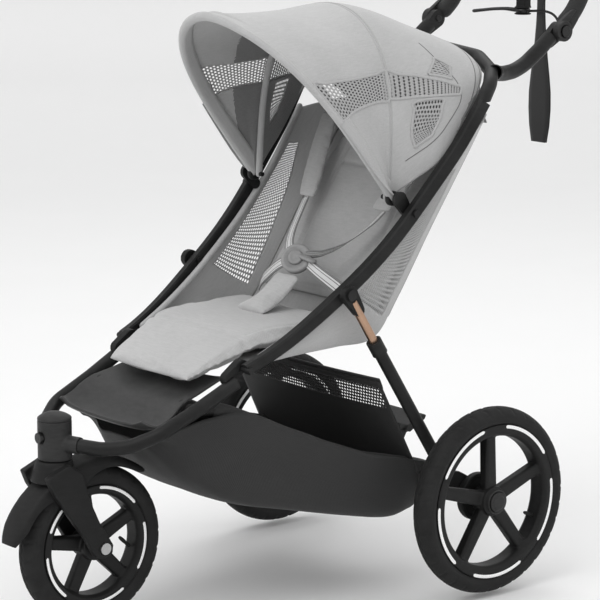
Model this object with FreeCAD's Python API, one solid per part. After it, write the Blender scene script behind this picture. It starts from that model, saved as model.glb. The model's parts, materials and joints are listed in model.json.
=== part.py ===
"""Three-wheeled jogging stroller, modelled as separate pieces in millimetres.

X points to the stroller's left, Y to its rear and Z up.  The pieces are laid out from a
station plane 46 mm ahead of the canopy pivots, and ORIGIN_Y moves them all so that the
origin lies on the floor under the middle of the whole stroller.
"""
import FreeCAD
import Part
import math
import os

V = FreeCAD.Vector
os.makedirs("parts", exist_ok=True)

# ---- driving dimensions (mm) ----
ORIGIN_Y = 31.4               # shift from the layout station to the origin
REAR_WHEEL_R = 159.0          # 12.5 inch tyre
REAR_TYRE_HALF = 21.0
REAR_FLANGE_R = 131.5
REAR_AXLE_Y = 176.0
REAR_AXLE_Z = REAR_WHEEL_R
REAR_TRACK_HALF = 286.0
FRONT_WHEEL_R = 131.0         # 10 inch tyre
FRONT_TYRE_HALF = 22.5
FRONT_FLANGE_R = 100.0
FRONT_AXLE_Y = -436.0
FRONT_AXLE_Z = FRONT_WHEEL_R
STEER_Y = -500.0              # steering axis, 64 mm of trail
HEAD_LOW_Z = 282.0
HEAD_TOP_Z = 346.0
STEERER_Z = 266.0             # lower end of the steering pin, pressed into the crown
AXLE_R = 6.0
BEARING_R = 11.0
RUN_FIT = 0.04                # radial clearance of anything that turns on a pin

FOLD_Y, FOLD_Z = -245.0, 420.0        # upper frame on the front frame
RAIL_Y, RAIL_Z = -330.0, 360.0        # lower rail on the front frame
LEG_Y, LEG_Z = -72.0, 528.0           # rear leg on the side bar
FOOT_Y, FOOT_Z = 140.0, 185.0         # rear leg's lower end at the axle bracket
CANOPY_Y, CANOPY_Z = 46.0, 670.0      # canopy pivots, on clips above the side bars
CLIP_Y, CLIP_Z = 62.0, 648.0          # stud that holds a canopy clip to its bar
RECLINE_Y, RECLINE_Z = 24.0, 450.0    # the fold that the backrest leans on
GRIP_X, GRIP_Y, GRIP_Z = 156.0, 443.0, 919.0
GRIP_TOP_Z = 998.0
BEAM_Y, BEAM_Z = 150.0, 163.0         # rear axle beam, which the brake pedal turns on

FRAME_TUBE_R = 11.5
RAIL_TUBE_R = 13.0
LEG_TUBE_R = 10.5
LEG_INNER_R = 7.5
CROSSBAR_R = 12.0
ARM_R = 13.0
BEAM_R = 12.0
GRIP_R = 15.0
WALL = 1.8
HINGE_PIN_R = 5.0             # pins of the fold, the rails and the legs
CANOPY_PIN_R = 4.0
PIVOT_PIN_R = 6.0             # trunnions that the handlebar tilts on
LEVER_PIN_R = 4.0
LEVER_R = 4.0
BUCKLE_R = 26.0
HEAD_R = 27.5
HEAD_BORE_R = 15.0
STEERER_R = 10.0
SOFT_GAP = 0.5                # between fabric and the metal beside it
BAR_DEPTH = 22.0              # side bar, seen from the side
BAR_WIDTH = 16.0
BAR_X0, BAR_SLOPE = 207.7, 0.1549     # side bar's x at station 0 and its splay
FABRIC = 2.4                  # thickness of the canopy and panel fabric solids
CURTAIN = 3.0                 # thickness of the basket's solid

# Tube routes on the left side, each a list of (x, y, z).
FRONT_RUN = ((34, -485.5, 308.4), (80, -465, 307), (118, -438, 314), (146, -400, 333),
             (152, -325, 366), (158, -258, 399))
RAIL_RUN = ((122, -330, 360), (127, -285, 353), (140, -236, 334), (162, -127, 283),
            (182, -24, 241), (193, 90, 212), (196, 150, 187))
CROSS_RUN = ((236.5, 186, 806), (236, 200, 828), (222, 226, 848), (186, 262, 864),
             (110, 302, 880), (0, 318, 886), (-110, 302, 880), (-186, 262, 864),
             (-222, 226, 848), (-236, 200, 828), (-236.5, 186, 806))


# ---- helpers ----
def save(name, shape):
    """Writes one sub-part, moved so that the origin is under the middle of the stroller."""
    moved = shape.copy()
    moved.translate(V(0, ORIGIN_Y, 0))
    moved.exportStep("parts/" + name + ".step")


def largest(shape):
    return max(shape.Solids, key=lambda s: s.Volume)


def mirrored(shape):
    return shape.mirror(V(0, 0, 0), V(1, 0, 0))


def both_sides(shape):
    return Part.Compound([shape, mirrored(shape)])


def rounded_wire(points, bend):
    """Straight runs through the points, joined by tangent arcs of about the bend radius."""
    pts = [V(*p) for p in points]
    edges = []
    start = pts[0]
    for before, corner, after in zip(pts, pts[1:], pts[2:]):
        back = (before - corner).normalize()
        ahead = (after - corner).normalize()
        half_turn = (math.pi - back.getAngle(ahead)) / 2
        if half_turn < 0.004:
            continue
        run = min((before - corner).Length, (after - corner).Length)
        leg = min(bend * math.tan(half_turn), 0.45 * run)
        radius = leg / math.tan(half_turn)
        enter = corner + back * leg
        leave = corner + ahead * leg
        middle_dir = (back + ahead).normalize()
        middle = corner + middle_dir * (radius / math.cos(half_turn) - radius)
        edges.append(Part.LineSegment(start, enter).toShape())
        edges.append(Part.Arc(enter, middle, leave).toShape())
        start = leave
    edges.append(Part.LineSegment(start, pts[-1]).toShape())
    return Part.Wire(edges)


def rod(points, radius, bend=60.0):
    """A round solid bar along rounded runs."""
    path = rounded_wire(points, bend)
    heading = path.Edges[0].tangentAt(path.Edges[0].FirstParameter)
    ring = Part.Wire(Part.makeCircle(radius, V(*points[0]), heading))
    return Part.Wire(path).makePipeShell([ring], True, False)


def tube(points, radius, bend=60.0, wall=WALL):
    return rod(points, radius, bend).cut(rod(points, radius - wall, bend))


def disc_x(radius, x0, x1, y, z):
    """A cylinder along X from x0 to x1."""
    low, high = min(x0, x1), max(x0, x1)
    return Part.makeCylinder(radius, high - low, V(low, y, z), V(1, 0, 0))


def plate(outline, x0, x1):
    """A flat plate: an outline of (y, z) points, extruded along X."""
    pts = [V(x0, y, z) for y, z in outline]
    face = Part.Face(Part.makePolygon(pts + [pts[0]]))
    return face.extrude(V(x1 - x0, 0, 0))


def link_plate(y0, z0, r0, y1, z1, r1, x0, x1):
    """A flat link whose two round ends have the radii r0 and r1."""
    along = math.atan2(z1 - z0, y1 - y0)
    length = math.hypot(y1 - y0, z1 - z0)
    lean = math.acos(max(-1.0, min(1.0, (r0 - r1) / length)))
    outline = []
    for y, z, r, side in ((y0, z0, r0, 1), (y1, z1, r1, 1), (y1, z1, r1, -1), (y0, z0, r0, -1)):
        angle = along + side * lean
        outline.append((y + r * math.cos(angle), z + r * math.sin(angle)))
    body = plate(outline, x0, x1)
    body = body.fuse(disc_x(r0, x0, x1, y0, z0)).fuse(disc_x(r1, x0, x1, y1, z1))
    return body.removeSplitter()


def ring_x(profile, y, z):
    """A solid of revolution about the X line through (y, z); profile holds (x, radius)."""
    pts = [V(x, y, z + r) for x, r in profile]
    face = Part.Face(Part.makePolygon(pts + [pts[0]]))
    return face.revolve(V(0, y, z), V(1, 0, 0), 360)


def block(x0, x1, y0, y1, z0, z1):
    return Part.makeBox(x1 - x0, y1 - y0, z1 - z0, V(x0, y0, z0))


def turned_yz(angle):
    """A unit vector in the side plane, angle in degrees from +Y towards +Z."""
    return V(0, math.cos(math.radians(angle)), math.sin(math.radians(angle)))


def triangle(a, b, c):
    return Part.Face(Part.makePolygon([a, b, c, a]))


def sheet_solid(rows, thickness, inward):
    """A closed thin solid through rows of points, thickened towards the point inward."""
    count = len(rows[0])
    outer = [[V(*p) for p in row] for row in rows]
    inner = []
    for i, row in enumerate(outer):
        line = []
        for j, point in enumerate(row):
            across = outer[min(i + 1, len(rows) - 1)][j] - outer[max(i - 1, 0)][j]
            along = row[min(j + 1, count - 1)] - row[max(j - 1, 0)]
            normal = across.cross(along).normalize()
            if normal.dot(V(*inward) - point) < 0:
                normal = normal * -1
            line.append(point + normal * thickness)
        inner.append(line)
    faces = []
    for layer in (outer, inner):
        for i in range(len(rows) - 1):
            for j in range(count - 1):
                a, b = layer[i][j], layer[i][j + 1]
                c, d = layer[i + 1][j + 1], layer[i + 1][j]
                faces.append(triangle(a, b, c))
                faces.append(triangle(a, c, d))
    rim = [(i, 0) for i in range(len(rows))]
    rim += [(len(rows) - 1, j) for j in range(1, count)]
    rim += [(i, count - 1) for i in range(len(rows) - 2, -1, -1)]
    rim += [(0, j) for j in range(count - 2, 0, -1)]
    for (i, j), (k, m) in zip(rim, rim[1:] + rim[:1]):
        faces.append(triangle(outer[i][j], outer[k][m], inner[k][m]))
        faces.append(triangle(outer[i][j], inner[k][m], inner[i][j]))
    shell = Part.makeShell(faces)
    shell.sewShape()
    solid = Part.makeSolid(shell)
    if solid.Volume < 0:
        solid.reverse()
    return solid


def side_bar_x(y):
    return BAR_X0 + BAR_SLOPE * y


# ---- wheels ----
def tyre(r, half, flange, y, z, x):
    """A tyre: rounded tread and sidewalls, with beads that sit inside the rim flanges."""
    wide = flange + 0.42 * (r - flange)
    left_low = V(x - 0.8 * half, y, z + flange + 0.6)
    left_mid = V(x - half, y, z + wide)
    left_top = V(x - 0.7 * half, y, z + r - 0.18 * (r - flange))
    right_low = V(x + 0.8 * half, y, z + flange + 0.6)
    right_mid = V(x + half, y, z + wide)
    right_top = V(x + 0.7 * half, y, z + r - 0.18 * (r - flange))
    bead_left = V(x - 0.55 * half, y, z + flange - 5.4)
    bead_right = V(x + 0.55 * half, y, z + flange - 5.4)
    edges = [
        Part.Arc(left_low, left_mid, left_top).toShape(),
        Part.Arc(left_top, V(x, y, z + r), right_top).toShape(),
        Part.Arc(right_top, right_mid, right_low).toShape(),
        Part.LineSegment(right_low, bead_right).toShape(),
        Part.LineSegment(bead_right, bead_left).toShape(),
        Part.LineSegment(bead_left, left_low).toShape(),
    ]
    return Part.Face(Part.Wire(edges)).revolve(V(0, y, z), V(1, 0, 0), 360)


def spoke(y, z, x, angle, r_in, r_out, half_wide, half_thick):
    """One tapered spoke with chamfered edges, from the hub out to the rim."""
    out = turned_yz(angle)
    side = turned_yz(angle + 90)
    wires = []
    for r, w, t in ((r_in, half_wide, half_thick), (r_out, 0.8 * half_wide, half_thick + 2)):
        cut = 0.35 * half_thick
        section = ((-t, w - cut), (-t, cut - w), (cut - t, -w), (t - cut, -w),
                   (t, cut - w), (t, w - cut), (t - cut, w), (cut - t, w))
        pts = [V(x, y, z) + out * r + V(dx, 0, 0) + side * dw for dx, dw in section]
        wires.append(Part.makePolygon(pts + [pts[0]]))
    return Part.makeLoft(wires, True, True)


def rim(r, half, flange, y, z, x, first_angle, hub_half, outward):
    """A one-piece wheel: rim, five spokes and hub, bored for two bearings and the axle."""
    lip = 0.92 * half
    inner = flange - 0.13 * r
    profile = [(-lip, inner + 5), (-lip, flange), (-0.82 * half, flange), (-0.57 * half, flange - 6),
               (0.57 * half, flange - 6), (0.82 * half, flange), (lip, flange), (lip, inner + 5),
               (0.6 * half, inner), (-0.6 * half, inner)]
    body = ring_x([(x + dx, rr) for dx, rr in profile], y, z)
    body = body.fuse(disc_x(25.0, x - hub_half, x + hub_half, y, z))
    for k in range(5):
        arm = spoke(y, z, x, first_angle + 72 * k, 20.0, inner + 3.0, 13.0, 9.0)
        body = body.fuse(arm)
    if outward:
        boss = disc_x(19.0, x, x + outward * (hub_half + 5), y, z)
        body = body.fuse(boss)
    reach = hub_half + 6
    body = body.cut(disc_x(AXLE_R + 2.0, x - reach, x + reach, y, z))
    for side in (-1, 1):
        seat = disc_x(BEARING_R, x + side * (hub_half - 8), x + side * reach, y, z)
        body = body.cut(seat)
    return body.removeSplitter()


def bearings(x, y, z, hub_half):
    pair = []
    for side in (-1, 1):
        race = disc_x(BEARING_R, x + side * (hub_half - 8), x + side * (hub_half - 1), y, z)
        hole = disc_x(AXLE_R + RUN_FIT, x - 60, x + 60, y, z)
        pair.append(race.cut(hole))
    return Part.Compound(pair)


def rear_wheel(side, sign):
    x = sign * REAR_TRACK_HALF
    y, z = REAR_AXLE_Y, REAR_AXLE_Z
    hub_half = 16.0
    first_angle = 20.0
    save("rear_tyre_" + side, tyre(REAR_WHEEL_R, REAR_TYRE_HALF, REAR_FLANGE_R, y, z, x))
    wheel = rim(REAR_WHEEL_R, REAR_TYRE_HALF, REAR_FLANGE_R, y, z, x, first_angle, hub_half, sign)
    save("rear_rim_" + side, wheel)
    save("rear_bearings_" + side, bearings(x, y, z, hub_half))
    cap = disc_x(17.0, x + sign * 21.0, x + sign * 25.5, y, z)
    cap = cap.fuse(disc_x(12.0, x + sign * 25.5, x + sign * 27.0, y, z))
    cap = cap.fuse(disc_x(10.9, x + sign * 16.5, x + sign * 21.0, y, z))
    save("rear_hub_cap_" + side, cap.removeSplitter())


def front_wheel():
    y, z = FRONT_AXLE_Y, FRONT_AXLE_Z
    hub_half = 20.0
    first_angle = 26.0
    save("front_tyre", tyre(FRONT_WHEEL_R, FRONT_TYRE_HALF, FRONT_FLANGE_R, y, z, 0.0))
    wheel = rim(FRONT_WHEEL_R, FRONT_TYRE_HALF, FRONT_FLANGE_R, y, z, 0.0, first_angle, hub_half, 0)
    save("front_rim", wheel)
    save("front_bearings", bearings(0.0, y, z, hub_half))


# ---- front frame ----
def front_frame():
    y = STEER_Y
    head = Part.makeCylinder(HEAD_R, HEAD_TOP_Z - HEAD_LOW_Z, V(0, y, HEAD_LOW_Z))
    for sign in (-1, 1):
        lug = rod([(sign * 20, y + 8, 309), (sign * 44, y + 19, 308)], 14.0)
        head = head.fuse(lug)
    head = head.cut(Part.makeCylinder(HEAD_BORE_R, 54.0, V(0, y, HEAD_LOW_Z - 1)))
    head = head.cut(Part.makeCylinder(9.0, 11.5, V(0, y - 30, 320), V(0, 1, 0)))
    filled = both_sides(rod(FRONT_RUN, FRAME_TUBE_R + RUN_FIT, 60))
    save("head_tube", head.cut(filled).removeSplitter())
    cap = Part.makeCylinder(HEAD_R, 4.0, V(0, y, HEAD_TOP_Z))
    dome = Part.makeSphere(44.0, V(0, y, HEAD_TOP_Z + 4.0 - 34.35))
    dome = dome.common(Part.makeCylinder(HEAD_R, 20.0, V(0, y, HEAD_TOP_Z + 4.0)))
    save("head_cap", cap.fuse(dome).removeSplitter())
    bushes = []
    for z0 in (HEAD_LOW_Z + 0.5, HEAD_LOW_Z + 40.0):
        bush = Part.makeCylinder(HEAD_BORE_R, 12.0, V(0, y, z0))
        bushes.append(bush.cut(Part.makeCylinder(STEERER_R + RUN_FIT, 12.0, V(0, y, z0))))
    save("steering_bushes", Part.Compound(bushes))

    near = tube(FRONT_RUN, FRAME_TUBE_R, 60)
    near = near.cut(disc_x(HINGE_PIN_R, 110, 150, RAIL_Y, RAIL_Z))
    save("front_tubes", both_sides(near))

    brackets = []
    for sign in (-1, 1):
        fold = link_plate(FOLD_Y, FOLD_Z, 15, FOLD_Y - 24, FOLD_Z - 14, 12, sign * 145, sign * 160)
        past_end = rod([(sign * 152, -325, 366), (sign * 160, -235, 411)], FRAME_TUBE_R + RUN_FIT)
        fold = fold.cut(filled).cut(past_end)
        rail = disc_x(11.0, sign * 130.5, sign * 146, RAIL_Y, RAIL_Z)
        rail = rail.cut(filled)
        rail = min(rail.Solids, key=lambda s: abs(s.CenterOfMass.x))
        brackets += [fold, rail]
    pins = []
    for sign in (-1, 1):
        pins.append(disc_x(HINGE_PIN_R, sign * 146, sign * 184, FOLD_Y, FOLD_Z))
        pins.append(disc_x(HINGE_PIN_R, sign * 112, sign * 150, RAIL_Y, RAIL_Z))
    holes = Part.Compound(pins)
    save("fold_brackets", Part.Compound([b.cut(holes) for b in brackets]))
    save("fold_pins", holes)


def footrest():
    """The moulded foot panel between the front tubes, with ribs under its front lip."""
    profile = [(-246, 396), (-304, 380), (-346, 369), (-384, 339), (-400, 333), (-408, 341),
               (-411, 340), (-402, 328), (-383, 334), (-344, 364), (-304, 375), (-246, 391)]
    panel = plate(profile, -104, 104)
    for sign in (-1, 1):
        wing = plate([(-362, 355), (-384, 338), (-384, 332), (-362, 349)], sign * 100, sign * 128)
        panel = panel.fuse(wing)
    for sign in (-1, 1):
        panel = panel.cut(rod([(sign * 146, -400, 333), (sign * 158, -258, 399)], FRAME_TUBE_R + 0.3))
    save("footrest_panel", panel.removeSplitter())


def swivel_button():
    stem = Part.makeCylinder(8.9, 8.5, V(0, STEER_Y - 31.0, 320), V(0, 1, 0))
    face = Part.makeCylinder(8.9, 1.5, V(0, STEER_Y - 32.5, 320), V(0, 1, 0))
    save("swivel_button", stem.fuse(face).removeSplitter())


# ---- fork ----
def fork():
    y = STEER_Y
    crown = Part.makeCone(39.0, 29.0, 34.0, V(0, y - 2, 247.5))
    crown = crown.fuse(Part.makeCylinder(HEAD_R, 34.0, V(0, y, 247.5)))
    blades = []
    outline = [(-541, 262), (-532, 240), (-503, 196), (-470, 150), (-452, 118), (-436, 113),
               (-420, 120), (-418, 134), (-444, 176), (-462, 216), (-474, 262), (-500, 279)]
    for sign in (-1, 1):
        blades.append(plate(outline, sign * 28.5, sign * 43.0))
    body = crown.fuse(blades[0]).fuse(blades[1])
    tyre_room = disc_x(FRONT_WHEEL_R + 15.0, -28.5, 28.5, FRONT_AXLE_Y, FRONT_AXLE_Z)
    body = body.cut(tyre_room)
    body = body.cut(disc_x(AXLE_R, -60, 60, FRONT_AXLE_Y, FRONT_AXLE_Z))
    body = body.cut(Part.makeCylinder(STEERER_R, 40.0, V(0, y, STEERER_Z)))
    save("fork", body.removeSplitter())
    pin = Part.makeCylinder(STEERER_R, HEAD_TOP_Z - 12 - STEERER_Z, V(0, y, STEERER_Z))
    save("steerer_pin", pin)

    axle = disc_x(AXLE_R, -44.5, 44.5, FRONT_AXLE_Y, FRONT_AXLE_Z)
    for sign in (-1, 1):
        axle = axle.fuse(disc_x(9.5, sign * 43.0, sign * 47.0, FRONT_AXLE_Y, FRONT_AXLE_Z))
        spacer = disc_x(9.0, sign * 21.0, sign * 28.5, FRONT_AXLE_Y, FRONT_AXLE_Z)
        axle = axle.fuse(spacer)
    save("front_axle", axle.removeSplitter())


def fender():
    """A curved guard over the front tyre, with lips down both sides and a drooping nose."""
    rows = []
    for angle in range(50, 171, 10):
        reach = FRONT_WHEEL_R + 13.0
        if angle > 130:
            reach += 0.28 * (angle - 130)
        arc = []
        for x, drop in ((-27.0, 13.0), (-25.0, 3.0), (-12.0, 0.5), (0.0, 0.0), (12.0, 0.5),
                        (25.0, 3.0), (27.0, 13.0)):
            out = turned_yz(angle) * (reach - drop)
            arc.append((x, FRONT_AXLE_Y + out.y, FRONT_AXLE_Z + out.z))
        rows.append(arc)
    save("front_fender", sheet_solid(rows, 2.0, (0, FRONT_AXLE_Y, FRONT_AXLE_Z)))


# ---- rear frame ----
def rear_frame():
    near = tube(RAIL_RUN, RAIL_TUBE_R, 120)
    near = near.cut(disc_x(15.0, 100, 145, RAIL_Y, RAIL_Z))
    near = near.fuse(disc_x(15.0, 114, 130, RAIL_Y, RAIL_Z))
    near = near.cut(disc_x(HINGE_PIN_R + RUN_FIT, 100, 150, RAIL_Y, RAIL_Z)).removeSplitter()
    save("lower_rails", both_sides(near))

    beam = rod([(-241, 176, 159), (-226, 176, 159), (-190, 150, 163), (190, 150, 163),
                (226, 176, 159), (241, 176, 159)], BEAM_R, 30)
    bores = [disc_x(AXLE_R, s * 222, s * 250, REAR_AXLE_Y, REAR_AXLE_Z) for s in (-1, 1)]
    beam = beam.cut(Part.Compound(bores))
    for sign in (-1, 1):
        beam = beam.cut(rod([(sign * 193, 90, 212), (sign * 196, 150, 187)], RAIL_TUBE_R + 0.02))
    save("axle_beam", beam)

    plates = []
    for sign in (-1, 1):
        outer = link_plate(REAR_AXLE_Y, REAR_AXLE_Z, 24, FOOT_Y - 4, FOOT_Z + 4, 18,
                           sign * 243, sign * 251)
        outer = outer.cut(disc_x(AXLE_R, sign * 240, sign * 255, REAR_AXLE_Y, REAR_AXLE_Z))
        plates.append(outer)
    save("axle_brackets", Part.Compound(plates))
    axles = []
    for sign in (-1, 1):
        axles.append(disc_x(AXLE_R, sign * 223, sign * 301.5, REAR_AXLE_Y, REAR_AXLE_Z))
    save("rear_axles", Part.Compound(axles))
    drums = []
    for sign in (-1, 1):
        drum = disc_x(41.0, sign * 251, sign * 264, REAR_AXLE_Y, REAR_AXLE_Z)
        drum = drum.cut(disc_x(34.0, sign * 260, sign * 266, REAR_AXLE_Y, REAR_AXLE_Z))
        drum = drum.fuse(disc_x(13.0, sign * 251, sign * 268, REAR_AXLE_Y, REAR_AXLE_Z))
        drum = drum.cut(disc_x(AXLE_R, sign * 240, sign * 270, REAR_AXLE_Y, REAR_AXLE_Z))
        drums.append(drum.removeSplitter())
    save("brake_drums", Part.Compound(drums))


def basket_rows():
    """Cross-sections of the basket, each from the left rim down, across and up to the right."""
    stations = ((-372, 126, 322, 70, 300), (-340, 139, 336, 100, 262), (-300, 144, 344, 124, 222),
                (-236, 162, 346, 145, 188), (-127, 182, 296, 160, 160), (-24, 202, 254, 170, 135),
                (60, 209, 233, 172, 118), (112, 209, 218, 166, 122))
    rows = []
    for y, rim_x, rim_z, floor_x, floor_z in stations:
        wall = (0.5 * (rim_x + floor_x) + 11, y, 0.55 * rim_z + 0.45 * floor_z)
        low = (floor_x, y, floor_z + 6)
        left = [(rim_x, y, rim_z), wall, low, (0.55 * floor_x, y, floor_z)]
        right = [(-p[0], p[1], p[2]) for p in reversed(left)]
        rows.append(left + [(0, y, floor_z - 2)] + right)
    return rows


def basket():
    rows = basket_rows()
    last = rows[-1]
    back = [(x, y + 18, z + (0.35 * (200 - z))) for x, y, z in last]
    rows.append(back)
    rail = rod(RAIL_RUN, RAIL_TUBE_R + SOFT_GAP, 120)
    tub = sheet_solid(rows, CURTAIN, (0, -100, 300)).cut(both_sides(rail))
    save("basket", largest(tub))


def basket_back():
    """The rear panel of the basket, stretched between the legs under a band of webbing."""
    rows = []
    for share in (0.41, 0.5, 0.62, 0.75, 0.88):
        y = LEG_Y + share * (FOOT_Y - LEG_Y)
        z = LEG_Z + share * (FOOT_Z - LEG_Z)
        half = 198.0 + 14.0 * share
        rows.append([(half * a, y - 10 * (1 - a * a), z) for a in (-1, -0.6, -0.2, 0.2, 0.6, 1)])
    save("basket_back", sheet_solid(rows, 2.0, (0, 400, 600)))


def brake_pedal():
    """Foot pedal on two ears that turn on the rear axle beam."""
    tread = plate([(196, 231), (206, 225), (240, 243), (244, 250), (238, 253), (200, 238)], -52, 52)
    ears = []
    for sign in (-1, 1):
        ear = link_plate(BEAM_Y, BEAM_Z, 17, 201, 231, 6, sign * 36, sign * 46)
        ears.append(ear.cut(disc_x(BEAM_R + RUN_FIT, sign * 30, sign * 50, BEAM_Y, BEAM_Z)))
    body = tread.fuse(ears[0]).fuse(ears[1])
    save("brake_pedal", body.removeSplitter())


# ---- rear legs ----
def rear_legs():
    top = V(215.5, LEG_Y, LEG_Z)
    foot = V(226, FOOT_Y, FOOT_Z)
    line = foot - top
    length = line.Length
    step = line.normalize()
    inner_start = top + step * 14
    inner_end = top + step * (0.42 * length)
    outer_start = top + step * (0.24 * length)
    inner = tube([tuple(inner_start), tuple(inner_end)], LEG_INNER_R)
    outer = tube([tuple(outer_start), tuple(foot)], LEG_TUBE_R)
    foot_plug = rod([tuple(foot - step * 16), tuple(foot)], LEG_TUBE_R - WALL)
    outer = outer.fuse(foot_plug)
    collar = rod([tuple(outer_start), tuple(outer_start + step * 26)], LEG_TUBE_R + 2.5)
    collar = collar.cut(rod([tuple(outer_start), tuple(inner_end)], LEG_INNER_R))
    outer = outer.fuse(collar).removeSplitter()
    save("leg_tubes", both_sides(outer))
    save("leg_inner_tubes", both_sides(inner))
    knuckle = link_plate(LEG_Y, LEG_Z, 15, inner_start.y + 12, inner_start.z - 16, 10, 209.8, 222)
    knuckle = knuckle.cut(rod([tuple(inner_start), tuple(inner_end)], LEG_INNER_R))
    knuckle = knuckle.cut(disc_x(HINGE_PIN_R + RUN_FIT, 200, 230, LEG_Y, LEG_Z))
    save("leg_knuckles", both_sides(knuckle))


# ---- upper frame ----
def bar_face(inset):
    """Side outline of a bar, drawn in by the inset all round."""
    line = [(-247, 421), (-184, 450), (-128, 485), (-72, 525), (-15, 570), (43, 626),
            (101, 693), (150, 753), (178, 794), (196, 822)]
    half = BAR_DEPTH / 2
    upper, lower = [], []
    for i, (y, z) in enumerate(line):
        y0, z0 = line[max(i - 1, 0)]
        y1, z1 = line[min(i + 1, len(line) - 1)]
        run = math.hypot(y1 - y0, z1 - z0)
        ny, nz = -(z1 - z0) / run, (y1 - y0) / run
        reach = half * (0.82 + 0.18 * min(1.0, i / 3)) - inset
        upper.append((y + ny * reach, z + nz * reach))
        lower.append((y - ny * reach, z - nz * reach))
    edges = []
    for chain in (upper, lower[::-1]):
        curve = Part.BSplineCurve()
        curve.interpolate([V(0, y, z) for y, z in chain])
        edges.append(curve.toShape())
    edges.insert(1, Part.LineSegment(V(0, *upper[-1]), V(0, *lower[-1])).toShape())
    edges.append(Part.LineSegment(V(0, *lower[0]), V(0, *upper[0])).toShape())
    return Part.Face(Part.Wire(edges))


def side_bar():
    """A flat-sided hollow bar, one upright extrusion that splays outwards to the rear."""
    bar = bar_face(0.0).extrude(V(BAR_WIDTH, 0, 0))
    bar = bar.makeChamfer(2.5, [e for e in bar.Edges if e.Length > 300])
    core = bar_face(2.0).extrude(V(BAR_WIDTH - 4.0, 0, 0))
    core.translate(V(2.0, 0, 0))
    pins = [(FOLD_Y, FOLD_Z), (LEG_Y, LEG_Z), (CLIP_Y, CLIP_Z)]
    for y, z in pins:
        core = core.cut(disc_x(8.5, 0, BAR_WIDTH, y, z))
    bar = bar.cut(core)
    bar.translate(V(-BAR_WIDTH / 2, 0, 0))
    splay = FreeCAD.Matrix()
    splay.A12 = BAR_SLOPE
    splay.A14 = BAR_X0
    bar = bar.transformGeometry(splay)
    bar = bar.cut(disc_x(HINGE_PIN_R + RUN_FIT, 150, 200, FOLD_Y, FOLD_Z))
    bar = bar.cut(disc_x(HINGE_PIN_R, 180, 230, LEG_Y, LEG_Z))
    return bar.cut(disc_x(CANOPY_PIN_R, 190, 240, CLIP_Y, CLIP_Z))


def top_frame():
    """The side bars, the bent crossbar at their top, and the arms that carry the handlebar."""
    bars = both_sides(side_bar())
    save("side_bars", bars)
    ends = both_sides(block(150, 260, 150, 214, 790, 822.5))
    solid_cross = rod(CROSS_RUN, CROSSBAR_R, 60).cut(ends)
    hollow = solid_cross.cut(rod(CROSS_RUN, CROSSBAR_R - WALL, 60))
    save("top_crossbar", largest(hollow.cut(bars)))
    arm = [(199, 258, 864), (186, 272, 860), (172, 302, 856), (162, 336, 857), (158, 366, 867),
           (GRIP_X + 1, 400, 889), (GRIP_X, 426, 909)]
    near = largest(tube(arm, ARM_R, 80).cut(solid_cross))
    near = largest(near.cut(disc_x(17.3, GRIP_X - 20, GRIP_X + 20, GRIP_Y, GRIP_Z)))
    hub = link_plate(GRIP_Y, GRIP_Z, 15.5, GRIP_Y - 22, GRIP_Z - 16, 12.0, GRIP_X - 6, GRIP_X + 6)
    near = near.fuse(hub)
    near = near.cut(disc_x(PIVOT_PIN_R, GRIP_X - 15, GRIP_X + 15, GRIP_Y, GRIP_Z))
    save("handle_arms", both_sides(near.removeSplitter()))


def frame_pins():
    """Leg pins, and the clips inside the side bars that carry the canopy pivots."""
    pins = []
    for sign in (-1, 1):
        x_leg = side_bar_x(LEG_Y)
        pin = disc_x(HINGE_PIN_R, sign * (x_leg - 12), sign * 223, LEG_Y, LEG_Z)
        pin = pin.fuse(disc_x(9.0, sign * 222.3, sign * 226, LEG_Y, LEG_Z))
        pins.append(pin.removeSplitter())
        clip = link_plate(CLIP_Y, CLIP_Z, 9.5, CANOPY_Y, CANOPY_Z, 13.0, sign * 199.5, sign * 206.5)
        clip = clip.fuse(disc_x(CANOPY_PIN_R, sign * 160, sign * 203, CANOPY_Y, CANOPY_Z))
        clip = clip.fuse(disc_x(CANOPY_PIN_R, sign * 203, sign * 229, CLIP_Y, CLIP_Z))
        clip = clip.fuse(disc_x(6.5, sign * 226.6, sign * 229.5, CLIP_Y, CLIP_Z))
        pins.append(clip.removeSplitter())
    save("frame_pins", Part.Compound(pins))


# ---- seat ----
def seat():
    pan = [(-232, 432), (-228, 456), (-150, 468), (-60, 466), (6, 464), (12, 446), (-60, 440),
           (-150, 438)]
    near_half, rear_half = 150, 168
    cushion = plate(pan, -rear_half, rear_half)
    plan = Part.Face(Part.makePolygon([V(-near_half, -240, 400), V(near_half, -240, 400),
                                       V(rear_half, -60, 400), V(rear_half, 40, 400),
                                       V(-rear_half, 40, 400), V(-rear_half, -60, 400),
                                       V(-near_half, -240, 400)]))
    save("seat_pan", cushion.common(plan.extrude(V(0, 0, 100))))

    rest = plate([(-236, 430), (-262, 427), (-306, 414), (-332, 398), (-330, 386), (-304, 391),
                  (-262, 404), (-236, 410)], -118, 118)
    save("calf_rest", rest)

    bar_side = [(-212, 432), (-156, 461), (-95, 499), (-34, 544), (29, 596), (89, 656),
                (137, 714), (178, 770)]
    tub_side = [(-215, 424), (-140, 430), (-60, 434), (16, 440), (66, 500), (140, 612),
                (212, 716), (262, 790)]
    top_row, mid_row, low_row = [], [], []
    for i, ((by, bz), (ty, tz)) in enumerate(zip(bar_side, tub_side)):
        bx = side_bar_x(by) - BAR_WIDTH / 2 - 3.0
        tx = 160 + 13 * min(i, 3) / 3
        top_row.append((bx, by, bz))
        mid_row.append((0.5 * (bx + tx) + 4, 0.5 * (by + ty), 0.5 * (bz + tz)))
        low_row.append((tx, ty, tz))
    panel = sheet_solid([top_row, mid_row, low_row], FABRIC, (0, 0, 600))
    save("seat_side_left", panel)
    save("seat_side_right", mirrored(panel))


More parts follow.
